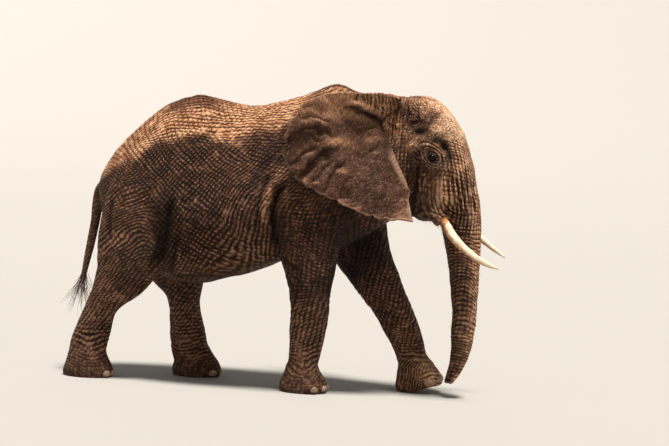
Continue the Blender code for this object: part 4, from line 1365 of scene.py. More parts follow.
# %% Short ways to build a node tree
class Net:
    """A material's or a group's node tree, with short ways to add to it. An
    input may be a socket or a constant; a colour is three numbers."""

    def __init__(self, tree):
        self.tree = tree

    def wire(self, source, target):
        """Link two sockets, or set a constant on the target."""
        if isinstance(source, bpy.types.NodeSocket):
            self.tree.links.new(source, target)
        else:
            target.default_value = source

    def add(self, kind, inputs, output, **settings):
        """Add a node, set its properties, wire its inputs, return one output."""
        new = self.tree.nodes.new("ShaderNode" + kind)
        for name, value in settings.items():
            setattr(new, name, value)
        for key, value in inputs.items():
            self.wire(value, new.inputs[key])
        return new.outputs[output]

    def maths(self, operation, first, second=0.0, third=0.0, clamp=False):
        """One Math node's result."""
        return self.add("Math", {0: first, 1: second, 2: third}, 0, operation=operation,
                        use_clamp=clamp)

    def plus(self, first, second):
        """first + second"""
        return self.maths("ADD", first, second)

    def minus(self, first, second):
        """first - second"""
        return self.maths("SUBTRACT", first, second)

    def times(self, first, second, clamp=False):
        """first * second, kept between 0 and 1 if clamp is on."""
        return self.maths("MULTIPLY", first, second, clamp=clamp)

    def remap(self, value, from_low, from_high, to_low=0.0, to_high=1.0):
        """A smooth Map Range."""
        return self.add("MapRange", {"Value": value, "From Min": from_low, "From Max": from_high,
                                     "To Min": to_low, "To Max": to_high},
                        "Result", interpolation_type="SMOOTHSTEP")

    def mix(self, factor, first, second, blend="MIX"):
        """A Mix node for colours."""
        first, second = ((*colour, 1.0) if isinstance(colour, tuple) else colour
                         for colour in (first, second))
        return self.add("Mix", {0: factor, 6: first, 7: second}, 2, data_type="RGBA",
                        blend_type=blend)

    def attribute(self, name):
        """A point attribute's number."""
        return self.add("Attribute", {}, "Fac", attribute_name=name)

    def place(self):
        """Object coordinates."""
        return self.add("TexCoord", {}, "Object")

    def stretched(self, place, scales):
        """Coordinates times three scales."""
        return self.add("VectorMath", {0: place, 1: scales}, "Vector", operation="MULTIPLY")

    def noise(self, place, scale, detail=2.0, roughness=0.5):
        """A noise texture's value."""
        return self.add("TexNoise", {"Vector": place, "Scale": scale, "Detail": detail,
                                     "Roughness": roughness}, "Fac")

    def bump(self, strength, distance, height):
        """A Bump node's normal."""
        return self.add("Bump", {"Strength": strength, "Distance": distance, "Height": height},
                        "Normal")


# %% The node group that draws one family of lines
lines = bpy.data.node_groups.new("hide lines", "ShaderNodeTree")
for direction, sockets in (("INPUT", {"Phase": 0.0, "Strength": 1.0, "Width": 0.16, "Warp": 0.0}),
                           ("OUTPUT", {"Groove": 0.0, "Cushion": 0.0})):
    for name, value in sockets.items():
        socket = lines.interface.new_socket(name, in_out=direction, socket_type="NodeSocketFloat")
        socket.default_value = value
given = lines.nodes.new("NodeGroupInput").outputs
result = lines.nodes.new("NodeGroupOutput").inputs

net = Net(lines)
away = net.times(net.maths("PINGPONG", net.plus(given["Phase"], given["Warp"]), 0.5), 2.0)
groove = net.remap(away, 0.0, given["Width"], 1.0, 0.0)
net.wire(net.times(groove, given["Strength"]), result["Groove"])
lowered = net.times(net.minus(1.0, net.maths("POWER", away, 0.55)), given["Strength"])
net.wire(net.minus(1.0, lowered), result["Cushion"])
print("node group:", lines.name)

# %% Hide material: the four families
FAMILIES = {
    # phase, width of a groove, scale and amount (in lines) of the sway
    "falling": (falling, 0.15, 4.0, 0.85), "rising": (rising, 0.15, 4.5, 0.85),
    "level": (level, 0.18, 4.0, 1.1), "standing": (standing, 0.17, 4.0, 0.6),
}
QUIVER_SCALE, QUIVER, PATCH_SCALE = 24.0, 0.65, 9.0
EVEN_GREY = (0.8, 0.8, 0.8)

hide, shader = plain_material("hide", EVEN_GREY, 0.5)
net = Net(hide.node_tree)
place = net.place()
kept, height = None, None
for index, (family, (_, width, sway_scale, sway)) in enumerate(FAMILIES.items()):
    shifted = net.add("VectorMath", {0: place, 1: (3.1 * index, 1.7 * index, 0.9 * index)},
                      "Vector", operation="ADD")
    swayed = net.times(net.minus(net.noise(shifted, sway_scale, 1.0), 0.5), 2 * sway)
    quivered = net.times(net.minus(net.noise(shifted, QUIVER_SCALE, 1.0), 0.5), QUIVER)
    patchy = net.remap(net.noise(shifted, PATCH_SCALE), 0.31, 0.54, 0.3, 1.0)
    drawn = hide.node_tree.nodes.new("ShaderNodeGroup")
    drawn.node_tree = lines
    for name, value in {"Phase": net.attribute("line_" + family),
                        "Strength": net.times(net.attribute("deep_" + family), patchy),
                        "Width": width, "Warp": net.plus(swayed, quivered)}.items():
        net.wire(value, drawn.inputs[name])
    uncut = net.minus(1.0, drawn.outputs["Groove"])
    cushion = drawn.outputs["Cushion"]
    kept = uncut if kept is None else net.times(kept, uncut)
    height = cushion if height is None else net.times(height, cushion)
crack = net.minus(1.0, kept)
print("families wired:", *FAMILIES)

# %% Hide material: small cells and grain
CELL_SCALE, GRAIN_SCALE, RELIEF = 46.0, 170.0, 0.024      # the last in metres

push = net.add("TexNoise", {"Vector": place, "Scale": 25.0}, "Color")
bent_place = net.add("VectorMath", {0: push, 1: (0.03, 0.03, 0.03), 2: place}, "Vector",
                     operation="MULTIPLY_ADD")
cells = net.add("TexVoronoi", {"Vector": bent_place, "Scale": CELL_SCALE}, "Distance",
                feature="DISTANCE_TO_EDGE")
fine_crack = net.remap(cells, 0.02, 0.14, 1.0, 0.0)
grain = net.noise(place, GRAIN_SCALE, 2.0, 0.6)
ear_share = net.attribute("ear")
relief = net.maths("MULTIPLY_ADD", height, 1.0, net.times(crack, -0.45))
relief = net.plus(relief, net.times(fine_crack, net.remap(ear_share, 0.0, 1.0, -0.13, -0.03)))
relief = net.plus(relief, net.times(grain, net.remap(ear_share, 0.0, 1.0, 0.1, 0.04)))
net.wire(net.bump(1.0, RELIEF, relief), shader.inputs["Normal"])
print("cells", round(1 / CELL_SCALE, 3), "m wide")

# %% Hide material: bare hide, and dust with painted highlight
CRACK_AND_SHADE = (0.006, 0.0028, 0.0018)
HIDE_DARK, HIDE, HIDE_PALE = (0.024, 0.0086, 0.0042), (0.05, 0.0188, 0.009), (0.13, 0.056, 0.029)
DUST_AND_HIGHLIGHT, DUST_AND_HIGHLIGHT_PALE = (0.33, 0.14, 0.063), (0.6, 0.345, 0.2)
RED_EARTH, RED_TIP = (0.085, 0.031, 0.015), (0.21, 0.092, 0.048)
EAR_DARK, EAR_HIDE = (0.019, 0.0078, 0.0044), (0.035, 0.0145, 0.0084)
EAR_PALE, EAR_FLECK, EAR_DUST_AND_HIGHLIGHT = (0.074, 0.033, 0.02), (0.26, 0.145, 0.096), (0.43, 0.225, 0.13)

broad, patch = net.noise(place, 2.6, 3.0), net.noise(place, 13.0, 3.0, 0.6)
speckle = net.noise(place, 60.0, 2.0, 0.6)
dust_and_highlight_share, red_share = net.attribute("dust"), net.attribute("red_top")
tint = net.mix(net.remap(broad, 0.35, 0.65), HIDE_DARK, HIDE)
tint = net.mix(net.times(net.remap(patch, 0.42, 0.7), 0.75), tint, HIDE_PALE)
# Dust colours, which also paint the highlight on the lit back, face and ears.
dust_and_highlight_tint = net.mix(net.remap(patch, 0.4, 0.68), DUST_AND_HIGHLIGHT, DUST_AND_HIGHLIGHT_PALE)
dust_and_highlight_tint = net.mix(net.times(red_share, 0.9), dust_and_highlight_tint, RED_EARTH)
tint = net.mix(net.times(dust_and_highlight_share, net.remap(speckle, 0.25, 0.6, 0.7, 1.0)), tint, dust_and_highlight_tint)

# The ear is smoother and redder, with pale flecks and short pale streaks that run down.
ear_tint = net.mix(net.remap(broad, 0.3, 0.7), EAR_DARK, EAR_HIDE)
ear_tint = net.mix(net.times(net.remap(patch, 0.45, 0.75), 0.5), ear_tint, EAR_PALE)
down_ear = net.add("Mapping", {"Vector": place, "Rotation": (0.0, 0.35, 0.0),
                               "Scale": (1.0, 1.0, 0.3)}, "Vector")
streaks = net.noise(down_ear, 95.0, 3.0, 0.65)
flecks = net.maths("MAXIMUM", net.remap(streaks, 0.56, 0.7), net.remap(speckle, 0.58, 0.75))
ear_tint = net.mix(net.times(flecks, 0.5), ear_tint, EAR_FLECK)
ear_dust_and_highlight_share = net.times(dust_and_highlight_share, net.remap(streaks, 0.38, 0.62, 0.25, 1.0))
tint = net.mix(ear_share, tint, net.mix(ear_dust_and_highlight_share, ear_tint, EAR_DUST_AND_HIGHLIGHT))
print("bare, dusty and ear hide coloured")

# %% Hide material: painted light and shade on the cushions, cracks and stains
# Factors of painted shade in the cushion valleys and painted light on the cushion tops.
VALLEY, TOP = (0.3, 0.27, 0.25), (1.6, 1.55, 1.5)      # factors on the colour
# Colours of the painted highlights on the cushion tips.
TIP, DUSTY_TIP_HIGHLIGHT = (0.4, 0.226, 0.138), (0.9, 0.64, 0.44)
STAIN_AND_SHADE, EYE_SHADE, RIM_HIGHLIGHT = (0.01, 0.005, 0.0034), (0.009, 0.005, 0.004), (0.34, 0.2, 0.135)

# Painted light and shade on the cushions: the tops lighter, the valleys between them darker.
tint = net.mix(1.0, tint, net.mix(net.remap(height, 0.2, 0.8), VALLEY, TOP), "MULTIPLY")
# Painted highlights, with rubbed wear, on the highest cushion tops.
rubbed_and_highlight_tips = net.times(net.attribute("rubbed"), net.remap(net.noise(place, 34.0), 0.34, 0.56))
tips = net.maths("MAXIMUM", net.remap(net.noise(place, 21.0), 0.42, 0.66), rubbed_and_highlight_tips)
tips = net.times(net.remap(height, 0.62, 0.95), tips)
tip_highlight_tint = net.mix(red_share, net.mix(dust_and_highlight_share, TIP, DUSTY_TIP_HIGHLIGHT), RED_TIP)
tint = net.mix(net.times(tips, net.maths("MULTIPLY_ADD", ear_share, -0.75, 0.8)), tint, tip_highlight_tint)
# Pebbled hide: painted highlights on the cell tops between fine dark cracks.
pebble_share = net.attribute("pebbly")
pebble_tips = net.times(net.times(net.remap(cells, 0.16, 0.42), pebble_share),
                        net.remap(net.noise(place, 33.0), 0.42, 0.6, 0.0, 0.75))
tint = net.mix(pebble_tips, tint, tip_highlight_tint)
fine_dark = net.maths("MAXIMUM", net.times(pebble_share, 0.8),
                      net.remap(net.noise(place, 7.0), 0.35, 0.65, 0.1, 0.42))
fine_dark = net.times(net.times(fine_crack, fine_dark),
                      net.maths("MULTIPLY_ADD", ear_share, -0.7, 1.0))
tint = net.mix(fine_dark, tint, CRACK_AND_SHADE)
# Painted shade in the cracks and the folds; stains with painted shade; dark lids with painted shade
# round them.
for share, amount, colour in ((crack, 1.0, CRACK_AND_SHADE), (net.attribute("fold"), 0.8, CRACK_AND_SHADE),
                              (net.attribute("stain"), 0.97, STAIN_AND_SHADE),
                              (net.attribute("eye_shade"), 0.92, EYE_SHADE)):
    tint = net.mix(net.times(share, amount, clamp=True), tint, colour)
# Painted highlights on the lid edges, the ear rims and the temple crease.
tint = net.mix(net.times(net.attribute("rim"), 0.8), tint, RIM_HIGHLIGHT)
net.wire(tint, shader.inputs["Base Color"])
net.wire(net.remap(speckle, 0.2, 0.8, 0.62, 0.84), shader.inputs["Roughness"])
net.wire(0.16, shader.inputs["Specular IOR Level"])
print("hide coloured")

# %% The skin
skin = mesh_object("skin", skin_points, skin_faces, hide)
store(skin.data, {"fold": values["fold"], "ear": ear, "eye_shade": values["eye_shade"],
                  "rim": most(values["rim"], 0.9 * temple_crease_highlight), "stain": stain, "dust": dust,
                  "red_top": red_top, "pebbly": pebbly, "rubbed": rubbed})
for index, (family, (phase, *_)) in enumerate(FAMILIES.items()):
    store(skin.data, {"line_" + family: phase, "deep_" + family: strengths[:, index]})
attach(skin, "root")
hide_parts(*FLESH, "ear_right", "ear_left", "tail")
print("skin stands in for", len(FLESH) + 3, "nodes")

# %% [markdown]
# ## Eyes
# The eyeball is a sphere whose front swells a little into the clear cornea.
# Its colours are rings round the axis it looks along: black pupil, dark amber
# iris, nearly black rim. A clear coat gives the wet highlight.

# %% Eye material
PUPIL, WHITE_OF_EYE = (0.001, 0.001, 0.001), (0.006, 0.004, 0.003)
IRIS_DARK, IRIS_PALE = (0.004, 0.0018, 0.0008), (0.016, 0.0064, 0.0026)

eye_material, eye_shader = plain_material("wet_eye", (0.02, 0.012, 0.008), 0.05)
net = Net(eye_material.node_tree)
from_pole = net.attribute("from_pole")
threads = net.add("TexNoise", {"W": net.times(net.attribute("spin"), 9.0), "Scale": 4.0,
                               "Detail": 2.0}, "Fac", noise_dimensions="1D")
iris = net.mix(threads, IRIS_DARK, IRIS_PALE)
eye_colour = net.mix(net.remap(from_pole, 0.24, 0.28), PUPIL, iris)
eye_colour = net.mix(net.remap(from_pole, 0.6, 0.78), eye_colour, WHITE_OF_EYE)
net.wire(eye_colour, eye_shader.inputs["Base Color"])
for name, value in {"Specular IOR Level": 0.0, "Coat Weight": 0.22, "Coat Roughness": 0.02}.items():
    net.wire(value, eye_shader.inputs[name])
print("eye material:", eye_material.name)

# %% Eyeballs
EYE_ROWS, EYE_COLUMNS = 33, 48
BALL_SIZE = 0.985 * EYE_SIZE      # a hair smaller than the solid model's
CORNEA = 0.06                     # its swelling, as a share of the radius

# Polar angle from the axis, and radius = size * (1 + swelling near the pole).
polar = np.linspace(0, np.pi, EYE_ROWS)[1:-1, None]
spin = np.linspace(0, 2 * np.pi, EYE_COLUMNS, endpoint=False)[None, :]
radius = BALL_SIZE * (1 + CORNEA * bell(polar, 0, 0.45)) + 0 * spin
number = np.arange(EYE_COLUMNS)
following = (number + 1) % EYE_COLUMNS
last_row, poles = (EYE_ROWS - 3) * EYE_COLUMNS, (EYE_ROWS - 2) * EYE_COLUMNS
ball_faces = np.vstack([halved(grid_faces(EYE_ROWS - 2, EYE_COLUMNS, closed=True)),
                        np.column_stack([following, number, 0 * number + poles]),
                        np.column_stack([last_row + number, last_row + following,
                                         0 * number + poles + 1])])
for side in HANDS:
    slant, rise, out = eye_frame(side)
    ball = ((radius * np.cos(polar))[..., None] * out
            + (radius * np.sin(polar) * np.cos(spin))[..., None] * slant
            + (radius * np.sin(polar) * np.sin(spin))[..., None] * rise)
    tips = np.array([(1 + CORNEA) * BALL_SIZE * out, -BALL_SIZE * out])
    points = np.vstack([ball.reshape(-1, 3), tips]) + EYE[side]
    eyeball = mesh_object("eyeball_" + side, points, outwards(points, ball_faces), eye_material)
    store(eyeball.data, {"from_pole": np.append(polar + 0 * spin, (0.0, np.pi)),
                         "spin": np.abs(np.append(spin + 0 * polar, (0.0, 0.0)) - np.pi)})
    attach(eyeball, "root")
    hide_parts("eye_" + side)
print("eyeballs", round(2 * EYE_SIZE, 3), "m across")

# %% [markdown]
# ## Tusks
# A tusk is a tapering tube along a curve: thickest in its socket, worn to a
# blunt point. Sap and soil stain it rusty near the lip and along its lower
# side, and fine cracks run along the grain.

# %% Ivory
IVORY, IVORY_GRAIN = (0.8, 0.72, 0.58), (0.62, 0.5, 0.34)
RUST, SOIL, WORN_TIP = (0.5, 0.215, 0.062), (0.17, 0.062, 0.02), (0.22, 0.13, 0.07)

ivory, ivory_shader = plain_material("ivory", (0.7, 0.62, 0.5), 0.38)
net = Net(ivory.node_tree)
place, along_tusk = net.place(), net.attribute("along")
streaks = net.noise(net.stretched(place, (5.0, 60.0, 22.0)), 1.0, 3.0, 0.6)
blots = net.noise(place, 24.0, 4.0, 0.65)
stained = net.plus(net.times(net.attribute("lower_side"), 0.95),
                   net.remap(along_tusk, 0.02, 0.3, 1.15, 0.15))
stained = net.maths("MULTIPLY_ADD", net.minus(blots, 0.5), 1.6, stained)
stained = net.minus(stained, net.remap(along_tusk, 0.45, 0.95, 0.0, 0.35))
tint = net.mix(net.remap(streaks, 0.35, 0.7), IVORY, IVORY_GRAIN)
tint = net.mix(net.remap(stained, 0.35, 0.85), tint, RUST)
tint = net.mix(net.remap(stained, 0.85, 1.25), tint, SOIL)
tint = net.mix(net.remap(along_tusk, 0.93, 1.0), tint, WORN_TIP)
net.wire(tint, ivory_shader.inputs["Base Color"])
net.wire(net.remap(blots, 0.3, 0.7, 0.3, 0.55), ivory_shader.inputs["Roughness"])
net.wire(net.bump(0.5, 0.0015, streaks), ivory_shader.inputs["Normal"])
print("ivory stained with", RUST)

# %% Tusks
# Path as shares of the tusk's box (along, out from the body, up), and radius in metres.
TUSK_PATHS = {
    "right": [(0.061, 0.274, 0.949, 0.046), (0.145, 0.44, 0.798, 0.048),
              (0.267, 0.631, 0.591, 0.046), (0.435, 0.75, 0.384, 0.041),
              (0.634, 0.786, 0.215, 0.034), (0.824, 0.726, 0.092, 0.024),
              (0.94, 0.665, 0.04, 0.014), (0.985, 0.64, 0.022, 0.006)],
    "left": [(0.046, 0.263, 0.924, 0.046), (0.135, 0.446, 0.824, 0.048),
             (0.254, 0.64, 0.717, 0.046), (0.432, 0.766, 0.552, 0.041),
             (0.626, 0.789, 0.37, 0.034), (0.819, 0.72, 0.18, 0.024),
             (0.94, 0.645, 0.07, 0.014), (0.985, 0.615, 0.03, 0.006)],
}
TUSK_AROUND, TUSK_END = 40, 0.004      # points round a ring, least radius
FLAT = 0.94                            # width as a share of depth

around = np.linspace(0, 2 * np.pi, TUSK_AROUND, endpoint=False)
for side, path in TUSK_PATHS.items():
    low, high = box_corners("tusk_" + side)
    shares = curve_through(path, 16)
    if side == "right":
        shares[:, 1] = 1 - shares[:, 1]
    line = low + shares[:, :3] * (high - low)
    radius = np.maximum(shares[:, 3], TUSK_END)
    run = np.linspace(0, 1, len(line))[:, None]
    # Faint flutes along the grain and shallow growth rings.
    flutes = 0.01 * np.sin(5 * around + 1.3) + 0.012 * np.sin(11 * around + 4 * run)
    rings = 0.006 * np.sin(run * 95) + 0.008 * np.sin(run * 37)
    points, faces = tube(line, radius * FLAT, radius, flutes + rings, TUSK_AROUND)
    tusk = mesh_object("ivory_tusk_" + side, points, outwards(points, faces), ivory)
    under = np.clip(np.cos(around), 0, 1) ** 0.8 + 0 * run
    store(tusk.data, {"along": np.append(run + 0 * around, (0.0, 1.0)),
                      "lower_side": np.append(under, (0.0, 0.0))})
    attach(tusk, "root")
    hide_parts("tusk_" + side)
    print(side, "tusk", round(float(np.linalg.norm(line[-1] - line[0])), 2), "m from lip to tip")

# %% [markdown]
# ## Toenails
# Each foot carries blunt horny nails at its front edge: four before, three
# behind. A nail is a small domed shield. Its outline is a squared oval and
# its rim lies just under the skin, so it looks grown in.

# %% Horn
HORN_DARK, HORN_PALE, MUD = (0.15, 0.085, 0.055), (0.37, 0.245, 0.165), (0.08, 0.036, 0.019)

horn, horn_shader = plain_material("horn", (0.36, 0.25, 0.17), 0.6)
net = Net(horn.node_tree)
place = net.place()
bands = net.noise(net.stretched(place, (12.0, 12.0, 110.0)), 1.0)
tint = net.mix(net.remap(bands, 0.35, 0.65), HORN_DARK, HORN_PALE)
tint = net.mix(net.remap(net.noise(place, 30.0, 3.0, 0.6), 0.52, 0.74), tint, MUD)
net.wire(tint, horn_shader.inputs["Base Color"])
net.wire(net.bump(0.6, 0.002, bands), horn_shader.inputs["Normal"])
print("horn banded")

# %% The shape of a nail
NAIL_WIDE, NAIL_HIGH, NAIL_PROUD = 0.05, 0.07, 0.02     # half width, height, rise over the skin
NAIL_GRID, NAIL_REACH = 15, 0.014      # points across, and how far a nail feels the skin
LIFTED_FOOT, LIFTED_NAILS = "forefoot_left", 0.045     # its toes point up, so the nails sit higher
FOOT_NAILS = {"forefoot_": (-50, -15, 20, 55), "hindfoot_": (-38, 0, 38)}     # degrees from ahead

u, v = np.meshgrid(*[np.linspace(-1, 1, NAIL_GRID)] * 2, indexing="ij")
# A square grid rounded: u * sqrt(1 - a v^2), narrowed towards the top, and v * sqrt(1 - b u^2).
disc_u = u * np.sqrt(1 - 0.36 * v ** 2) * (1 - 0.3 * np.clip(v, 0, 1) ** 2)
disc_v = v * np.sqrt(1 - np.where(v > 0, 0.55, 0.25) * u ** 2)
dome = np.clip(1 - np.maximum(np.abs(u), np.abs(v)) ** 3.5, 0, 1)
# The lower edge stands out a little, like a worn horn edge.
lift = NAIL_PROUD * dome ** 0.7 - 0.006
lift = (lift + 0.004 * np.clip(-disc_v, 0, 1) ** 2 * (np.abs(u) < 0.95)).ravel()
# The grid's quads, and a fan from its border to one point inside the foot.
number = np.arange(NAIL_GRID ** 2).reshape(NAIL_GRID, NAIL_GRID)
border = np.concatenate([number[0, :-1], number[:-1, -1], number[-1, :0:-1], number[:0:-1, 0]])
nail_faces = np.vstack([halved(grid_faces(NAIL_GRID, NAIL_GRID)),
                        np.column_stack([np.roll(border, -1), border,
                                         np.full(len(border), NAIL_GRID ** 2)])])
print("a nail is", NAIL_GRID, "by", NAIL_GRID, "points")


# %% Nails on the feet
def near_mean(angles, heights, around, up, reach, radius):
    """The skin's distance from the foot's middle line in given directions: a
    mean of the skin points near each, weighted by exp(-(distance / reach)^2)."""
    apart = ((angles[:, None] - around) * radius) ** 2 + (heights[:, None] - up) ** 2
    weight = np.exp(-apart / NAIL_REACH ** 2) + 1e-12
    return (weight * reach).sum(axis=1) / weight.sum(axis=1)


nail_parts = []
for foot, directions in FOOT_NAILS.items():
    for side, hand in HANDS.items():
        low, high = box_corners(foot + side)
        mine = skin_points[around_part(foot + side, skin_points)]
        middle = np.array((0.46 * (low[0] + high[0]) + 0.04 * high[0], 0.5 * (low[1] + high[1])))
        ahead, beside = mine[:, 0] - middle[0], (mine[:, 1] - middle[1]) * hand
        around, reach = np.arctan2(beside, ahead), np.hypot(ahead, beside)
        for degrees in directions:
            aim = math.radians(degrees)
            rough = near_mean(np.array([aim]), np.array([low[2] + 0.07]), around, mine[:, 2],
                              reach, 0.2)[0]
            sole = mine[(np.abs(around - aim) < 0.2) & (reach > 0.8 * rough), 2].min()
            wide = NAIL_WIDE * (1.0 if abs(degrees) < 45 else 0.85)
            if foot + side == LIFTED_FOOT:
                sole, wide = sole + LIFTED_NAILS, 1.12 * wide
            angles = (aim + disc_u * wide / rough).ravel()
            heights = (sole + 0.008 + NAIL_HIGH * 0.5 * (disc_v + 1)).ravel()
            out = near_mean(angles, heights, around, mine[:, 2], reach, rough) + lift
            # The last point is the fan's, inside the foot.
            angles, heights = np.append(angles, aim), np.append(heights, sole + 0.04)
            out = np.append(out, rough - 0.035)
            points = np.column_stack([middle[0] + out * np.cos(angles),
                                      middle[1] + hand * out * np.sin(angles), heights])
            nail_parts.append((points, outwards(points, nail_faces)))
nails = mesh_object("toenails", *joined(nail_parts), horn)
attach(nails, "root")
print(len(nail_parts), "nails")

# %% [markdown]
# ## Hair
# An elephant has little hair: a brush of stiff wires at the end of the tail,
# lashes over the eyes, and thin bristles on the chin and trunk. Each hair is
# a thin tapering tube with four sides. All hairs of a group are worked out at
# once. Hair i at share t of its length lies at root + t * length * way
# + t^2 * droop + sideways waves that grow with t.

# %% Many hairs at once
HAIR_SIDES, HAIR_PATCH = 4, 0.003      # sides, and size of a hair's patch on the unwrapped skin

hair_material, hair_shader = plain_material("hair", (0.03, 0.018, 0.011), 0.45)
net = Net(hair_material.node_tree)
net.wire(net.mix(net.remap(net.attribute("shade"), 0.2, 0.95), (0.018, 0.01, 0.007),
                 (0.15, 0.085, 0.045)), hair_shader.inputs["Base Color"])


def hairs(name, roots, ways, lengths, droop, curl, thick, steps, seed, patches):
    """A joined mesh of tapering hairs with a patch of the OFBake map for each.
    `roots`, `ways`: (count, 3); `droop`: metres of bend at the tip; `curl`:
    metres of wave; `thick`: radius at the root; `patches`: (count, 2) places
    of the roots on the unwrapped skin."""
    rng = np.random.default_rng(seed)
    count = len(roots)
    t = np.linspace(0, 1, steps)[None, :, None]
    ways = unit(ways)
    across = unit(np.cross(ways, rng.normal(size=(count, 3))))[:, None]
    other = np.cross(ways[:, None], across)
    wave = rng.uniform(0.6, 1.6, (count, 1, 1)) * np.pi
    swing = rng.uniform(0, 2 * np.pi, (count, 1, 1))
    line = roots[:, None] + ways[:, None] * lengths[:, None, None] * t + droop[:, None] * t ** 2
    line = line + curl * t ** 1.3 * (across * (np.sin(wave * t + swing) - np.sin(swing))
                                     + other * (np.cos(1.3 * wave * t + swing) - np.cos(swing)))
    angle = (np.arange(HAIR_SIDES) * 2 * np.pi / HAIR_SIDES)[:, None]
    radius = thick * rng.uniform(0.7, 1.2, (count, 1)) * (1 - 0.85 * t[..., 0] ** 1.5)
    ring = across[:, None] * np.cos(angle) + other[:, None] * np.sin(angle)
    points = (line[:, :, None] + radius[..., None, None] * ring).reshape(-1, 3)
    per_hair = steps * HAIR_SIDES
    quads = grid_faces(steps, HAIR_SIDES, closed=True)
    caps = np.array([[0, 1, 2, 3], np.arange(per_hair - 1, per_hair - 5, -1)])
    starts = (np.arange(count) * per_hair)[:, None, None]
    faces = (np.vstack([quads, caps])[None] + starts).reshape(-1, 4)
    if inside_out(points[:per_hair], halved(quads)):
        faces = faces[:, ::-1]
    piece = mesh_object(name, points, faces, hair_material)
    # OFBake: along the hair in v, round it in u, in a small patch.
    corner = np.empty(len(piece.data.loops), dtype=np.int64)
    piece.data.loops.foreach_get("vertex_index", corner)
    hair, rest = corner // per_hair, corner % per_hair
    share = np.column_stack([(rest % HAIR_SIDES) / (HAIR_SIDES - 1),
                             (rest // HAIR_SIDES) / (steps - 1)])
    uv = patches[hair] + HAIR_PATCH * (share - 0.5)
    piece.data.uv_layers.new(name="OFBake").data.foreach_set("uv", uv.ravel())
    store(piece.data, {"shade": np.repeat(rng.uniform(0, 1, count), per_hair)})
    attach(piece, "root")
    return piece


# %% The brush of the tail
BRUSH_HAIRS = 95
BRUSH_BEHIND = 0.06      # metres that tips may reach behind the solid model's box

rng = np.random.default_rng(11)
share = rng.uniform(0, 1, BRUSH_HAIRS)               # place along the end of the tail
station = (len(tail_path) - 1) * (0.8 + 0.195 * share ** 0.8)
above = station.astype(int)
below = np.minimum(above + 1, len(tail_path) - 1)
mixed = (station - above)[:, None]
core = tail_path[above] * (1 - mixed) + tail_path[below] * mixed
core_way = unit(np.gradient(tail_path, axis=0)[above])
turn_round = rng.uniform(0, 2 * np.pi, BRUSH_HAIRS)
flat_way = np.column_stack([-core_way[:, 2], np.zeros(BRUSH_HAIRS), core_way[:, 0]])
out_way = flat_way * np.cos(turn_round)[:, None]
out_way = out_way + np.array((0, 1.0, 0)) * np.sin(turn_round)[:, None]
skin_radius = np.interp(station, np.arange(len(tail_half)), tail_half) * 0.85
roots = core + out_way * skin_radius[:, None]
aim = np.column_stack([rng.normal(-0.17, 0.2, BRUSH_HAIRS), rng.normal(0, 0.13, BRUSH_HAIRS),
                       np.full(BRUSH_HAIRS, -1.0)])
ways = aim + 0.3 * out_way
# No tip may reach under the brush's own box, or far behind the animal's.
lengths = rng.uniform(0.16, 0.42, BRUSH_HAIRS)
way_size = np.linalg.norm(ways, axis=1)
lengths = np.minimum(lengths, (roots[:, 2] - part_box("tail_brush")[0][2] - 0.02) * way_size)
room = (roots[:, 0] - CAD_BOX[0][0] + BRUSH_BEHIND) * way_size
lengths = np.minimum(lengths, room / np.clip(-ways[:, 0], 0.01, None))
droop = np.column_stack([rng.normal(0.03, 0.03, BRUSH_HAIRS), rng.normal(0, 0.02, BRUSH_HAIRS),
                         np.zeros(BRUSH_HAIRS)])
patches = np.column_stack([0.05 + 0.4 * turn_round / (2 * np.pi), 0.05 + 0.4 * share])
brush = hairs("tail_hairs", roots, ways, lengths, droop, curl=0.026, thick=0.0021, steps=9,
              seed=12, patches=patches)
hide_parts("tail_brush")
print(BRUSH_HAIRS, "hairs in the tail brush")

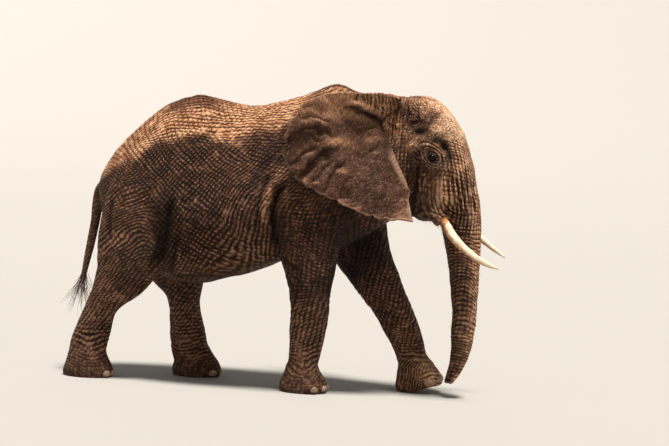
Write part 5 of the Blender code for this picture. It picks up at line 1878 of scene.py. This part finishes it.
# %% Lashes
LASHES = 34
for side, hand in HANDS.items():
    slant, rise, out = eye_frame(side)
    rng = np.random.default_rng(21)
    angle = np.linspace(0.12, 0.9, LASHES) * np.pi + rng.normal(0, 0.03, LASHES)
    across, over = 1.12 * OPENING[0] * np.cos(angle), 1.12 * OPENING[1] * np.sin(angle)
    height = (EYE_SIZE + LID_THICK) ** 2 - across ** 2 - over ** 2
    height = np.sqrt(np.clip(height, 1e-4, None)) + 0.001
    roots = EYE[side] + across[:, None] * slant + over[:, None] * rise + height[:, None] * out
    fan = 0.35 * np.cos(angle) + rng.normal(0, 0.1, LASHES)
    ways = 0.95 * out + fan[:, None] * slant + rng.normal(-0.35, 0.12, LASHES)[:, None] * rise
    lengths = rng.uniform(0.016, 0.03, LASHES)
    patches = np.column_stack([0.55 + 0.15 * (hand > 0) + 0.1 * angle / np.pi,
                               0.6 + rng.uniform(0, 0.02, LASHES)])
    hairs("lashes_" + side, roots, ways, lengths, np.tile(-0.012 * rise, (LASHES, 1)),
          curl=0.002, thick=0.0011, steps=6, seed=22, patches=patches)
print(2 * LASHES, "lashes")

# %% Bristles on the chin, crown, trunk and back
BRISTLES = 420
rng = np.random.default_rng(31)
head_low, head_high = (corner[2] for corner in box_corners("head"))
chin = (z < head_low + 0.16) & (z > head_low - 0.02) & (x < 1.62) & (x > 1.25)
brow_top = (z > head_high - 0.3) & (x > 1.15) & (facing_up > 0.2)
trunk_front = (z < head_low) & (z > 0.5) & (x > 1.6) & by_trunk
back_line = (np.abs(y) < 0.1) & (facing_up > 0.6) & (x < 0.9)
chance = 3.0 * chin + 0.8 * brow_top + 0.5 * trunk_front + 0.25 * back_line
chance = chance * (on_ear < 0.5)
chosen = rng.choice(len(skin_points), BRISTLES, replace=False, p=chance / chance.sum())
roots = skin_points[chosen] - 0.002 * skin_normals[chosen]
# Low ones hang, those on the crown and back lean forward.
hang = np.where((z[chosen] < 2.2)[:, None], (0.1, 0.0, -0.55), (0.25, 0.0, 0.0))
ways = skin_normals[chosen] + hang + rng.normal(0, 0.25, (BRISTLES, 3))
on_chin, elsewhere = rng.uniform(0.02, 0.05, BRISTLES), rng.uniform(0.02, 0.045, BRISTLES)
lengths = np.where(chin[chosen], on_chin, elsewhere)
patches = np.column_stack([0.5 + 0.2 * x[chosen] / 2.4, 0.2 + 0.1 * z[chosen]])
hairs("bristles", roots, ways, lengths, np.tile((0, 0, -0.01), (BRISTLES, 1)), curl=0.004,
      thick=0.0009, steps=5, seed=32, patches=patches)
print(BRISTLES, "bristles")
